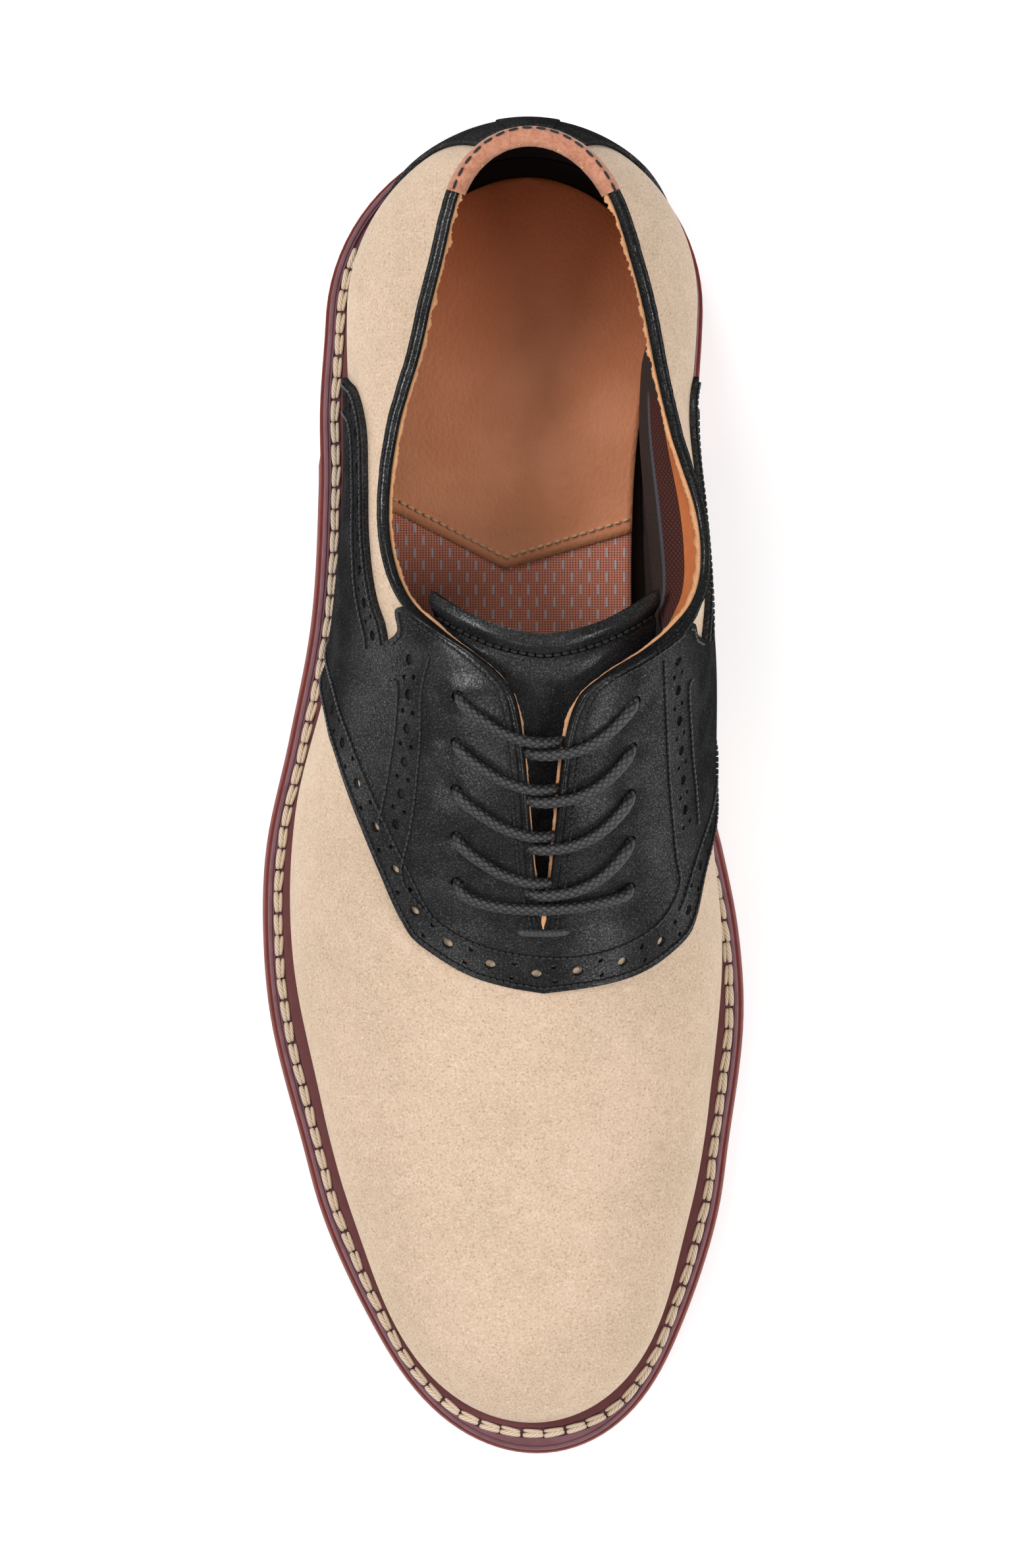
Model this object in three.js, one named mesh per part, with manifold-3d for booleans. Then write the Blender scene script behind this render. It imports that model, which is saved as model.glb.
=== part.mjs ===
// A saddle shoe for the right foot, standing empty on its sole.
// A moulded rubber outsole with its heel carries a stitched welt and a cushioned insole. The hollow leather
// upper stands in the welt. A saddle is laid over its instep and a counter round its heel, its collar and
// throat are bound, a tab folds over the back of the collar, and a tongue lies under five rows of lace.
// Millimetres, +Z up. The toe points along -Y and the inner side of the foot lies towards +X.
import * as THREE from "three";
import Module from "manifold-3d";

const wasm = await Module();
wasm.setup();

// Driving sizes
const LENGTH = 298; // outsole, from heel to toe
const BALL_WIDTH = 108; // outsole, at the ball of the foot
const INSTEP_RISE = 78.4; // top of the throat above the sole
const HEEL_HEIGHT = 25.5; // top of the outsole at the heel seat
const FOREFOOT_THICKNESS = 8; // outsole under the ball
const TOE_SPRING = 9; // underside of the toe above the floor
const HEEL_LENGTH = 74; // back of the heel to its breast
const BREAST_SLOPE = 3; // how far the breast leans forward
const HEEL_ROUND = 42; // length over which the heel rounds off, in plan
const TOE_ROUND = 60; // the same at the toe
const TOE_BOX_ROUND = 36; // length over which the toe box rounds off, seen from the side
const WALL = 1.8; // upper leather with its lining
const OVERLAY = 1.2; // saddle and counter leather
const GAP = 0.3; // between pieces that meet
const WELT_HEIGHT = 4.2;
const WELT_INSET = 1.3; // welt edge behind the outsole's widest line
const WELT_BEVEL = 0.6;
const CHANNEL_DEPTH = 0.6; // groove that holds the welt stitching
const GROOVE_DROP = 1.5; // decorative groove below the top of the outsole
const GROOVE_WIDTH = 0.8;
const GROOVE_DEPTH = 0.9;
const SOLE_BEVEL = 1.2;
const INSOLE_THICKNESS = 5;
const BINDING_THICKNESS = 0.7;
const BINDING_OUTSIDE = 1.5; // bound edge of the collar, down the outside
const BINDING_OVER = 1.2; // and over the edge, which shows its lining beside it
const TAB_THICKNESS = 0.9;
const TAB_OUTSIDE = 1.4; // heel tab, down the outside
const TAB_INSIDE = 12; // and down the inside
const TONGUE_THICKNESS = 2.2;
const TONGUE_TOP_WIDTH = 53;
const TONGUE_TOE_WIDTH = 40;
const LACE_DIAMETER = 2.3;
const EYELET_ROWS = 5;
const EYELET_PITCH = 10.6;
const EYELET_DIAMETER = 3.4;
const EYELET_OFFSET = 18; // from the middle of the throat, in plan
const LAST_EYELET_FROM_END = 9.15; // last row behind the end of the throat
const TACK_WIDTH = 10; // bar that closes the throat
const TACK_LENGTH = 1.6;
const TACK_THICKNESS = 0.9;

// Mesh steps
const TURN_STEPS = 40; // from heel to toe, on each side
const RISE_STEPS = 10; // up the wall
const SHARE_OF_RISE_BELOW_BULGE = 0.3; // share of the way up the wall at which it is widest
const OVERRUN = 1.03; // a form that cuts up to the top line runs on to this share of the rise

// Plan of the outsole: at is the share of its length from the heel, axis and half are shares of BALL_WIDTH.
const SOLE_OUTLINE = [
  { at: 0, axis: 0.042, half: 0.393 },
  { at: 0.15, axis: 0.024, half: 0.396 },
  { at: 0.21, axis: 0.013, half: 0.396 },
  { at: 0.27, axis: 0.008, half: 0.39 },
  { at: 0.37, axis: -0.01, half: 0.389 },
  { at: 0.46, axis: -0.022, half: 0.425 },
  { at: 0.54, axis: -0.017, half: 0.478 },
  { at: 0.61, axis: -0.002, half: 0.5 },
  { at: 0.68, axis: 0.012, half: 0.494 },
  { at: 0.78, axis: 0.03, half: 0.44 },
  { at: 0.9, axis: 0.052, half: 0.38 },
  { at: 1, axis: 0.072, half: 0.384 },
];

// Widest line of the upper, and how far the foot of the wall lies inside it and below it, on the outer and
// the inner side of the foot. Widths are shares of BALL_WIDTH and heights are shares of INSTEP_RISE.
const UPPER_SECTIONS = [
  { at: 0, axis: 0.053, half: 0.36, tuckOut: 0.03, tuckIn: 0.03, bulgeOut: 0.31, bulgeIn: 0.31 },
  { at: 0.155, axis: 0.04, half: 0.357, tuckOut: 0.042, tuckIn: 0.051, bulgeOut: 0.29, bulgeIn: 0.33 },
  { at: 0.225, axis: 0.0367, half: 0.3493, tuckOut: 0.036, tuckIn: 0.062, bulgeOut: 0.27, bulgeIn: 0.36 },
  { at: 0.294, axis: 0.0408, half: 0.3583, tuckOut: 0.03, tuckIn: 0.084, bulgeOut: 0.25, bulgeIn: 0.39 },
  { at: 0.41, axis: 0.037, half: 0.39, tuckOut: 0.032, tuckIn: 0.115, bulgeOut: 0.21, bulgeIn: 0.36 },
  { at: 0.525, axis: 0.002, half: 0.43, tuckOut: 0.028, tuckIn: 0.065, bulgeOut: 0.18, bulgeIn: 0.23 },
  { at: 0.636, axis: 0.011, half: 0.446, tuckOut: 0.023, tuckIn: 0.028, bulgeOut: 0.155, bulgeIn: 0.165 },
  { at: 0.756, axis: 0.028, half: 0.401, tuckOut: 0.02, tuckIn: 0.02, bulgeOut: 0.14, bulgeIn: 0.14 },
  { at: 0.87, axis: 0.043, half: 0.348, tuckOut: 0.019, tuckIn: 0.019, bulgeOut: 0.125, bulgeIn: 0.125 },
  { at: 1, axis: 0.063, half: 0.366, tuckOut: 0.019, tuckIn: 0.019, bulgeOut: 0.1, bulgeIn: 0.1 },
];

// Top line of the upper: round the collar, down the throat, and from its end along the ridge of the vamp.
// rise is a share of INSTEP_RISE above the sole. lean is the turn of the wall at the top, in degrees.
const TOP_LINE = [
  { at: 0, axis: 0.056, half: 0.235, rise: 0.72, lean: 35 },
  { at: 0.084, axis: 0.069, half: 0.209, rise: 0.7, lean: 35 },
  { at: 0.155, axis: 0.07, half: 0.237, rise: 0.66, lean: 38 },
  { at: 0.225, axis: 0.065, half: 0.284, rise: 0.645, lean: 44 },
  { at: 0.288, axis: 0.081, half: 0.319, rise: 0.685, lean: 52 },
  { at: 0.331, axis: 0.093, half: 0.315, rise: 0.76, lean: 60 },
  { at: 0.359, axis: 0.102, half: 0.287, rise: 0.835, lean: 67 },
  { at: 0.38, axis: 0.111, half: 0.233, rise: 0.9, lean: 73 },
  { at: 0.398, axis: 0.112, half: 0.168, rise: 0.955, lean: 78 },
  { at: 0.414, axis: 0.1, half: 0.108, rise: 0.985, lean: 82 },
  { at: 0.43, axis: 0.09, half: 0.07, rise: 1, lean: 85 },
  { at: 0.468, axis: 0.084, half: 0.046, rise: 0.975, lean: 88 },
  { at: 0.525, axis: 0.083, half: 0.032, rise: 0.9, lean: 90 },
  { at: 0.572, axis: 0.083, half: 0.02, rise: 0.81, lean: 90 },
  { at: 0.606, axis: 0.084, half: 0, rise: 0.742, lean: 90 },
  { at: 0.66, axis: 0.083, half: 0, rise: 0.65, lean: 90 },
  { at: 0.72, axis: 0.081, half: 0, rise: 0.57, lean: 90 },
  { at: 0.78, axis: 0.078, half: 0, rise: 0.505, lean: 90 },
  { at: 0.85, axis: 0.074, half: 0, rise: 0.44, lean: 90 },
  { at: 0.93, axis: 0.068, half: 0, rise: 0.38, lean: 90 },
  { at: 1, axis: 0.063, half: 0, rise: 0.32, lean: 90 },
];

// The tongue follows the instep as if it were closed.
const TONGUE_LINE = [
  { at: 0.34, axis: 0.088, rise: 0.945 },
  { at: 0.38, axis: 0.088, rise: 0.965 },
  { at: 0.42, axis: 0.087, rise: 0.975 },
  { at: 0.468, axis: 0.084, rise: 0.96 },
  { at: 0.525, axis: 0.083, rise: 0.89 },
  { at: 0.572, axis: 0.083, rise: 0.802 },
  { at: 0.606, axis: 0.084, rise: 0.736 },
  { at: 0.66, axis: 0.083, rise: 0.643 },
];

// Rear wing of the saddle: how far up the wall it reaches at each share from the heel, on both sides.
const SADDLE_WING = [
  { at: 0.192, out: 0.35, in: 0.34 },
  { at: 0.2, out: 0.58, in: 0.47 },
  { at: 0.222, out: 0.74, in: 0.55 },
  { at: 0.26, out: 0.81, in: 0.58 },
  { at: 0.3, out: 0.84, in: 0.6 },
  { at: 0.343, out: 0.84, in: 0.62 },
  { at: 0.375, out: 0.81, in: 0.62 },
  { at: 0.392, out: 0.78, in: 0.61 },
];

// Front edge of the saddle: how far up the wall it starts, from the welt to the ridge of the vamp.
const SADDLE_FRONT = [
  { at: 0.4, out: 0.05, in: 0.02 },
  { at: 0.438, out: 0.4, in: 0.07 },
  { at: 0.47, out: 0.53, in: 0.15 },
  { at: 0.497, out: 0.6, in: 0.24 },
  { at: 0.53, out: 0.66, in: 0.36 },
  { at: 0.567, out: 0.71, in: 0.5 },
  { at: 0.613, out: 0.76, in: 0.59 },
  { at: 0.632, out: 0.82, in: 0.68 },
  { at: 0.645, out: 0.88, in: 0.77 },
  { at: 0.652, out: 0.94, in: 0.87 },
  { at: 0.656, out: 1, in: 1 },
];

// Edge of the counter: height is the share of the way up the wall, turn the share of the way round from
// the back to the toe.
const COUNTER_EDGE = [
  { height: 0.1, turn: 0.15 },
  { height: 0.2, turn: 0.11 },
  { height: 0.35, turn: 0.078 },
  { height: 0.5, turn: 0.066 },
  { height: 0.7, turn: 0.057 },
  { height: 1, turn: 0.05 },
];

// One lace from its eyelet to the middle of the throat: beside is a share of EYELET_OFFSET, ahead a share
// of EYELET_PITCH towards the toe.
const LACE_PATH = [
  { beside: 0.88, ahead: 0.2 },
  { beside: 0.6, ahead: 0.68 },
  { beside: 0.3, ahead: 0.93 },
  { beside: 0.05, ahead: 1 },
  { beside: -0.1, ahead: 1 },
];

// Places along the shoe, as shares of the top line from the heel
const COLLAR_END_OUT = 0.362; // where the saddle reaches the collar
const COLLAR_END_IN = 0.374;
const THROAT_END = 0.606;
const TONGUE_TOE_END = 0.65;
const TONGUE_TOP_MIDDLE = 0.383;
const TONGUE_TOP_SIDE = 0.354;
const TAB_TURN = 0.097; // the heel tab ends here, as a share of the way round

// Where each outline starts and ends, as distances from the two ends of the outsole
const BULGE_FROM_HEEL = 2.2;
const BULGE_FROM_TOE = 8.1;
const FOOT_FROM_HEEL = 6.4;
const FOOT_FROM_TOE = 10.6;
const TOP_FROM_HEEL = 6.3;

const SIDES = [-1, 1]; // outer side of the foot, inner side
const OVERLAY_TOP = GAP + OVERLAY;
const CUTTER = [GAP - 2, OVERLAY_TOP + 2]; // depth of a form that cuts an overlay out

// A column of a table at any share, through the rows as a smooth curve.
function column(rows, key, share, value) {
  const last = rows.length - 1;
  let i = 0;
  while (i < last - 1 && share > rows[i + 1][key]) i++;
  const slope = (k) => {
    const a = rows[Math.max(k - 1, 0)];
    const b = rows[Math.min(k + 1, last)];
    return (b[value] - a[value]) / (b[key] - a[key]);
  };
  const [p, q] = [rows[i], rows[i + 1]];
  const span = q[key] - p[key];
  const u = THREE.MathUtils.clamp((share - p[key]) / span, 0, 1);
  const [u2, u3] = [u * u, u * u * u];
  return (
    p[value] * (2 * u3 - 3 * u2 + 1) +
    slope(i) * span * (u3 - 2 * u2 + u) +
    q[value] * (3 * u2 - 2 * u3) +
    slope(i + 1) * span * (u3 - u2)
  );
}

// Fall-off of a round end: 0 at the end and 1 from one radius on.
function roundEnd(distance, radius) {
  const q = THREE.MathUtils.clamp(distance / radius, 0, 1);
  return Math.sqrt(q * (2 - q));
}

// turn runs from 0 at the back of the heel to 1 at the toe, closer together round both ends.
const HEEL_SHARE = HEEL_ROUND / LENGTH;
const TOE_SHARE = TOE_ROUND / LENGTH;
const TURN_RATE = ((HEEL_SHARE + TOE_SHARE) * Math.PI) / 2 + 1 - HEEL_SHARE - TOE_SHARE;
const HEEL_TURN = (HEEL_SHARE * Math.PI) / 2 / TURN_RATE;
const TOE_TURN = (TOE_SHARE * Math.PI) / 2 / TURN_RATE;

function shareAt(turn) {
  if (turn < HEEL_TURN) return HEEL_SHARE * (1 - Math.cos(((Math.PI / 2) * turn) / HEEL_TURN));
  if (turn > 1 - TOE_TURN) {
    return 1 - TOE_SHARE * (1 - Math.cos(((Math.PI / 2) * (1 - turn)) / TOE_TURN));
  }
  return HEEL_SHARE + (turn - HEEL_TURN) * TURN_RATE;
}

// The input at which a rising function reaches a value.
function solve(rising, value, low = 0, high = 1) {
  for (let step = 0; step < 40; step++) {
    const middle = (low + high) / 2;
    if (rising(middle) < value) low = middle;
    else high = middle;
  }
  return (low + high) / 2;
}

const turnAt = (share) => solve(shareAt, share);

// Height of the top of the outsole, at a distance from the heel.
function soleTop(along) {
  const share = along / LENGTH;
  const down = THREE.MathUtils.smoothstep(share, 0.18, 0.57);
  const up = Math.max(0, (share - 0.71) / 0.29) ** 1.5;
  return FOREFOOT_THICKNESS + (HEEL_HEIGHT - FOREFOOT_THICKNESS) * (1 - down) + TOE_SPRING * up;
}

// Underside of the outsole: flat under the heel and the ball, arched between them.
function soleBottom(along) {
  return along < HEEL_LENGTH ? 0 : Math.max(0, soleTop(along) - FOREFOOT_THICKNESS);
}

const place = (x, along, z) => new THREE.Vector3(x, LENGTH / 2 - along, z);

// Point on the outline of the outsole, moved out by offset. side is one of SIDES.
function outline(side, turn, offset) {
  const at = (u) => {
    const share = shareAt(u);
    const end = roundEnd(share * LENGTH, HEEL_ROUND) * roundEnd((1 - share) * LENGTH, TOE_ROUND);
    const half = column(SOLE_OUTLINE, "at", share, "half") * BALL_WIDTH * end;
    return new THREE.Vector2(
      column(SOLE_OUTLINE, "at", share, "axis") * BALL_WIDTH + side * half,
      share * LENGTH,
    );
  };
  const here = at(turn);
  const step = 1e-3;
  const along = at(Math.min(turn + step, 1)).sub(at(Math.max(turn - step, 0)));
  if (turn < step || turn > 1 - step) along.y = 0; // square across at both tips
  const out = new THREE.Vector2(along.y, -along.x).multiplyScalar(side).normalize();
  return here.addScaledVector(out, offset);
}

// The outline of a section of the upper at a turn: its foot, its widest line and its top, in plan and height.
function topAt(share) {
  const half = Math.max(0, column(TOP_LINE, "at", share, "half"));
  return {
    axis: column(TOP_LINE, "at", share, "axis") * BALL_WIDTH,
    half: half < 1e-3 ? 0 : half * BALL_WIDTH * roundEnd(share * LENGTH, HEEL_ROUND),
    rise: column(TOP_LINE, "at", share, "rise") * INSTEP_RISE,
    lean: THREE.MathUtils.degToRad(column(TOP_LINE, "at", share, "lean")),
  };
}

function instepAt(share) {
  return {
    axis: column(TONGUE_LINE, "at", share, "axis") * BALL_WIDTH,
    half: 0,
    rise: column(TONGUE_LINE, "at", share, "rise") * INSTEP_RISE,
    lean: Math.PI / 2,
  };
}

function section(side, turn, topOf) {
  const share = shareAt(turn);
  const read = (key) => column(UPPER_SECTIONS, "at", share, key);
  const alongOf = (fromHeel, fromToe) => fromHeel + share * (LENGTH - fromHeel - fromToe);
  const end = roundEnd(share * LENGTH, HEEL_ROUND) * roundEnd((1 - share) * LENGTH, TOE_ROUND);
  const axis = read("axis") * BALL_WIDTH;
  const half = read("half") * BALL_WIDTH;
  const tuck = read(side < 0 ? "tuckOut" : "tuckIn") * BALL_WIDTH;
  const footAlong = alongOf(FOOT_FROM_HEEL, FOOT_FROM_TOE);
  const foot = place(axis + side * (half - tuck) * end, footAlong, soleTop(footAlong) + GAP);
  const bulge = place(
    axis + side * half * end,
    alongOf(BULGE_FROM_HEEL, BULGE_FROM_TOE),
    foot.z + read(side < 0 ? "bulgeOut" : "bulgeIn") * INSTEP_RISE,
  );
  const line = topOf(share);
  const topAlong = alongOf(TOP_FROM_HEEL, BULGE_FROM_TOE);
  const level = soleTop(topAlong) + GAP + line.rise;
  const top = place(
    line.axis + side * line.half,
    topAlong,
    bulge.z + (level - bulge.z) * roundEnd((1 - share) * LENGTH, TOE_BOX_ROUND),
  );
  return { foot, bulge, top, lean: line.lean };
}

// Outer face of the upper. rise runs from 0 at the sole to 1 at the top line, and a little beyond it on
// request.
function face(side, turn, rise, topOf = topAt) {
  const { foot, bulge, top, lean } = section(side, turn, topOf);
  if (rise <= SHARE_OF_RISE_BELOW_BULGE) {
    const u = rise / SHARE_OF_RISE_BELOW_BULGE;
    const out = Math.sin((Math.PI / 2) * u);
    return new THREE.Vector3(
      THREE.MathUtils.lerp(foot.x, bulge.x, out),
      THREE.MathUtils.lerp(foot.y, bulge.y, out),
      THREE.MathUtils.lerp(foot.z, bulge.z, u),
    );
  }
  const angle = (lean * (rise - SHARE_OF_RISE_BELOW_BULGE)) / (1 - SHARE_OF_RISE_BELOW_BULGE);
  const out = (Math.cos(angle) - Math.cos(lean)) / (1 - Math.cos(lean));
  return new THREE.Vector3(
    THREE.MathUtils.lerp(top.x, bulge.x, out),
    THREE.MathUtils.lerp(top.y, bulge.y, out),
    THREE.MathUtils.lerp(bulge.z, top.z, Math.sin(angle) / Math.sin(lean)),
  );
}

function sideNormal(side, turn, rise, topOf) {
  const step = 1e-4;
  if (turn > 1 - step && rise > SHARE_OF_RISE_BELOW_BULGE) rise = SHARE_OF_RISE_BELOW_BULGE;
  const across = face(side, Math.min(turn + step, 1), rise, topOf).sub(
    face(side, Math.max(turn - step, 0), rise, topOf),
  );
  const up = face(side, turn, rise + step, topOf).sub(
    face(side, turn, Math.max(rise - step, 0), topOf),
  );
  if (turn > 1 - step) up.copy(face(side, 1, rise, topOf).sub(face(side, 1, rise - step, topOf)));
  return across.cross(up).multiplyScalar(-side).normalize();
}

// Outward direction, shared by both sides where they meet.
function normal(side, turn, rise, topOf = topAt) {
  const here = sideNormal(side, turn, rise, topOf);
  const onRidge = Math.abs(rise - 1) < 1e-6 && topOf(shareAt(turn)).half === 0;
  const meets = turn < 1e-6 || turn > 1 - 1e-6 || onRidge;
  return meets ? here.add(sideNormal(-side, turn, rise, topOf)).normalize() : here;
}

function offsetFace(side, turn, rise, distance, topOf = topAt) {
  return face(side, turn, rise, topOf).addScaledVector(normal(side, turn, rise, topOf), distance);
}

// Share of the way up the wall at a depth below the top line, measured along the leather.
function riseAtDepth(side, turn, depth) {
  const steps = 60;
  let [length, rise] = [0, 1];
  let last = face(side, turn, 1);
  while (length < depth && rise > 0) {
    rise -= 1 / steps;
    const next = face(side, turn, rise);
    const piece = next.distanceTo(last);
    if (length + piece >= depth) return rise + ((length + piece - depth) / piece) * (1 / steps);
    length += piece;
    last = next;
  }
  return rise;
}

// Share of the way up the wall at a height above the sole, below the widest line.
function riseAtHeight(side, turn, height) {
  const { foot, bulge } = section(side, turn, topAt);
  return (SHARE_OF_RISE_BELOW_BULGE * height) / (bulge.z - foot.z);
}

// Share of the way up the wall at which a piece lifted off it clears the welt.
function riseAboveWelt(side, turn, lift) {
  const height = (rise) => {
    const { y, z } = offsetFace(side, turn, rise, lift);
    return z - soleTop(LENGTH / 2 - y);
  };
  return solve(height, WELT_HEIGHT + 2 * GAP, 0, SHARE_OF_RISE_BELOW_BULGE);
}

// Share of the way up the wall at a distance from the middle of the throat, in plan.
function riseAcross(side, turn, distance, topOf) {
  const { axis, half } = topOf(shareAt(turn));
  if (distance <= half) return 1;
  const towardsMiddle = (rise) => -side * (face(side, turn, rise, topOf).x - axis);
  return solve(towardsMiddle, -distance, SHARE_OF_RISE_BELOW_BULGE, 1);
}

// Point over the instep at a place beside the middle of the throat, lifted off the upper.
function overInstep(beside, share, lift) {
  const side = beside < 0 ? -1 : 1;
  const turn = turnAt(share);
  const rise = riseAcross(side, turn, Math.abs(beside), topAt);
  const point = offsetFace(side, turn, rise, lift);
  return rise < 1 ? point : point.setX(topAt(share).axis + beside);
}

function geometry(points, triangles) {
  const made = new THREE.BufferGeometry();
  made.setAttribute("position", new THREE.Float32BufferAttribute(points.flatMap((p) => p.toArray()), 3));
  made.setIndex(triangles.flat());
  return made;
}

// A wall of leather: patches of paired points, outside and inside, with a rim along every free edge.
function leather(patches) {
  const ids = new Map();
  const outer = [];
  const inner = [];
  const idOf = ({ out, back }) => {
    const key = out.toArray().map((c) => Math.round(c * 1e3) + 0).join();
    if (!ids.has(key)) {
      ids.set(key, outer.length);
      outer.push(out);
      inner.push(back);
    }
    return ids.get(key);
  };
  const loops = patches
    .map((patch) => patch.map(idOf))
    .map((loop) => loop.filter((id, i) => id !== loop[(i + 1) % loop.length]))
    .filter((loop) => loop.length > 2);
  const edges = new Set(loops.flatMap((loop) => loop.map((id, i) => `${id},${loop[(i + 1) % loop.length]}`)));
  const triangles = [];
  const count = outer.length;
  for (const loop of loops) {
    for (let i = 1; i < loop.length - 1; i++) {
      triangles.push([loop[0], loop[i], loop[i + 1]]);
      triangles.push([loop[0] + count, loop[i + 1] + count, loop[i] + count]);
    }
    loop.forEach((a, i) => {
      const b = loop[(i + 1) % loop.length];
      if (edges.has(`${b},${a}`)) return;
      triangles.push([b, a, a + count], [b, a + count, b + count]);
    });
  }
  return geometry([...outer, ...inner], triangles);
}

// Patches of a grid on one side of the shoe. at gives the turn and rise of each crossing, from 0 to 1 each
// way.
function patches(side, across, up, at, low, high, topOf = topAt) {
  const point = (i, j) => {
    const { turn, rise } = at(i / across, j / up);
    return {
      out: offsetFace(side, turn, rise, high, topOf),
      back: offsetFace(side, turn, rise, low, topOf),
    };
  };
  const grid = Array.from({ length: across + 1 }, (_, i) =>
    Array.from({ length: up + 1 }, (_, j) => point(i, j)),
  );
  const made = [];
  for (let i = 0; i < across; i++) {
    for (let j = 0; j < up; j++) {
      const patch = [grid[i][j], grid[i + 1][j], grid[i + 1][j + 1], grid[i][j + 1]];
      made.push(side < 0 ? patch : patch.reverse());
    }
  }
  return made;
}

// Rings of points of equal number, each joined to the next. An open stack is capped at both ends, from side
// to side.
function stack(rings, closed) {
  const count = rings[0].length;
  const id = (ring, i) => (ring % rings.length) * count + ((i + count) % count);
  const triangles = [];
  for (let ring = 0; ring < (closed ? rings.length : rings.length - 1); ring++) {
    for (let i = 0; i < count; i++) {
      const [a, b, c, d] = [id(ring, i), id(ring, i + 1), id(ring + 1, i + 1), id(ring + 1, i)];
      triangles.push([a, b, c], [a, c, d]);
    }
  }
  if (!closed) {
    const last = rings.length - 1;
    for (let i = 0; i < count / 2; i++) {
      const [a, b, c, d] = [i, i + 1, count - i - 1, count - i];
      const caps = i === 0 ? [[a, c, b]] : i === count / 2 - 1 ? [[a, d, b]] : [[a, d, c], [a, c, b]];
      for (const [p, q, r] of caps) {
        triangles.push([id(0, p), id(0, q), id(0, r)]);
        triangles.push([id(last, p), id(last, r), id(last, q)]);
      }
    }
  }
  return geometry(rings.flat(), triangles);
}

// Stations round the shoe, from the back along the outer side to the toe and back along the inner side.
function roundStations(turns) {
  return [
    ...turns.map((turn) => ({ side: -1, turn })),
    ...turns.slice(1, -1).reverse().map((turn) => ({ side: 1, turn })),
  ];
}

const TURNS = Array.from({ length: TURN_STEPS + 1 }, (_, i) => i / TURN_STEPS);

const toManifold = (shape) =>
  new wasm.Manifold(
    new wasm.Mesh({
      numProp: 3,
      vertProperties: new Float32Array(shape.getAttribute("position").array),
      triVerts: new Uint32Array(shape.index.array),
    }),
  );

function fromManifold(solid) {
  const { vertProperties, triVerts, numProp } = solid.getMesh();
  const made = new THREE.BufferGeometry();
  const points = Array.from({ length: vertProperties.length / numProp }, (_, i) =>
    Array.from(vertProperties.slice(i * numProp, i * numProp + 3)),
  );
  made.setAttribute("position", new THREE.Float32BufferAttribute(points.flat(), 3));
  made.setIndex(Array.from(triVerts));
  return made;
}

function makeOutsole() {
  const breast = [-0.5, 0.5].map((side) => turnAt((HEEL_LENGTH + side * BREAST_SLOPE) / LENGTH));
  const apart = TURNS.filter((turn) => breast.every((b) => Math.abs(b - turn) > 0.25 / TURN_STEPS));
  const turns = [...apart, ...breast];
  const stations = roundStations(turns.sort((a, b) => a - b));
  const ring = (offset, level) =>
    stations.map(({ side, turn }) => {
      const { x, y } = outline(side, turn, offset);
      return place(x, y, level(soleTop(y), soleBottom(y)));
    });
  const grooveFloor = -WELT_INSET - GROOVE_DEPTH;
  const grooveEnd = GROOVE_DROP + GROOVE_WIDTH;
  return stack(
    [
      ring(-SOLE_BEVEL, (top, bottom) => bottom),
      ring(0, (top, bottom) => bottom + SOLE_BEVEL),
      ring(-WELT_INSET / 2, (top) => top - grooveEnd),
      ring(grooveFloor, (top) => top - grooveEnd),
      ring(grooveFloor, (top) => top - GROOVE_DROP),
      ring(-WELT_INSET, (top) => top - GROOVE_DROP),
      ring(-WELT_INSET, (top) => top),
    ],
    false,
  );
}

function makeWelt() {
  const stations = roundStations(TURNS);
  const inner = (height) =>
    stations.map(({ side, turn }) => offsetFace(side, turn, riseAtHeight(side, turn, height), GAP));
  const outer = (offset, height) =>
    stations.map(({ side, turn }) => {
      const { x, y } = outline(side, turn, offset);
      return place(x, y, soleTop(y) + GAP + height);
    });
  const insideTop = inner(WELT_HEIGHT);
  const outsideTop = outer(-WELT_INSET - WELT_BEVEL, WELT_HEIGHT);
  const between = (share, drop) =>
    insideTop.map((p, i) => p.clone().lerp(outsideTop[i], share).setZ(
      THREE.MathUtils.lerp(p.z, outsideTop[i].z, share) - drop,
    ));
  return stack(
    [
      inner(0),
      outer(-WELT_INSET, 0),
      outer(-WELT_INSET, WELT_HEIGHT - WELT_BEVEL),
      outsideTop,
      between(0.66, 0),
      between(0.62, CHANNEL_DEPTH),
      between(0.31, CHANNEL_DEPTH),
      between(0.27, 0),
      insideTop,
    ],
    true,
  );
}

function makeInsole() {
  const stations = roundStations(TURNS);
  const ring = (height) =>
    stations.map(({ side, turn }) =>
      offsetFace(side, turn, riseAtHeight(side, turn, height), -WALL - GAP),
    );
  return stack([ring(0), ring(INSOLE_THICKNESS)], false);
}

// The whole upper as a wall between two distances from its face.
function shell(low, high) {
  const below = Math.round(RISE_STEPS * SHARE_OF_RISE_BELOW_BULGE);
  const riseOf = (step) =>
    step <= below
      ? (SHARE_OF_RISE_BELOW_BULGE * step) / below
      : THREE.MathUtils.mapLinear(step, below, RISE_STEPS, SHARE_OF_RISE_BELOW_BULGE, 1);
  const at = (a, b) => ({ turn: a, rise: riseOf(Math.round(b * RISE_STEPS)) });
  return leather(SIDES.flatMap((side) => patches(side, TURN_STEPS, RISE_STEPS, at, low, high)));
}

// Leather laid over the upper: the part of a shell that the cutting forms cover.
function overlay(forms) {
  const [first, ...rest] = forms.map(toManifold);
  const cutter = rest.reduce((joined, form) => joined.add(form), first);
  return fromManifold(toManifold(shell(GAP, OVERLAY_TOP)).intersect(cutter));
}

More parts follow.
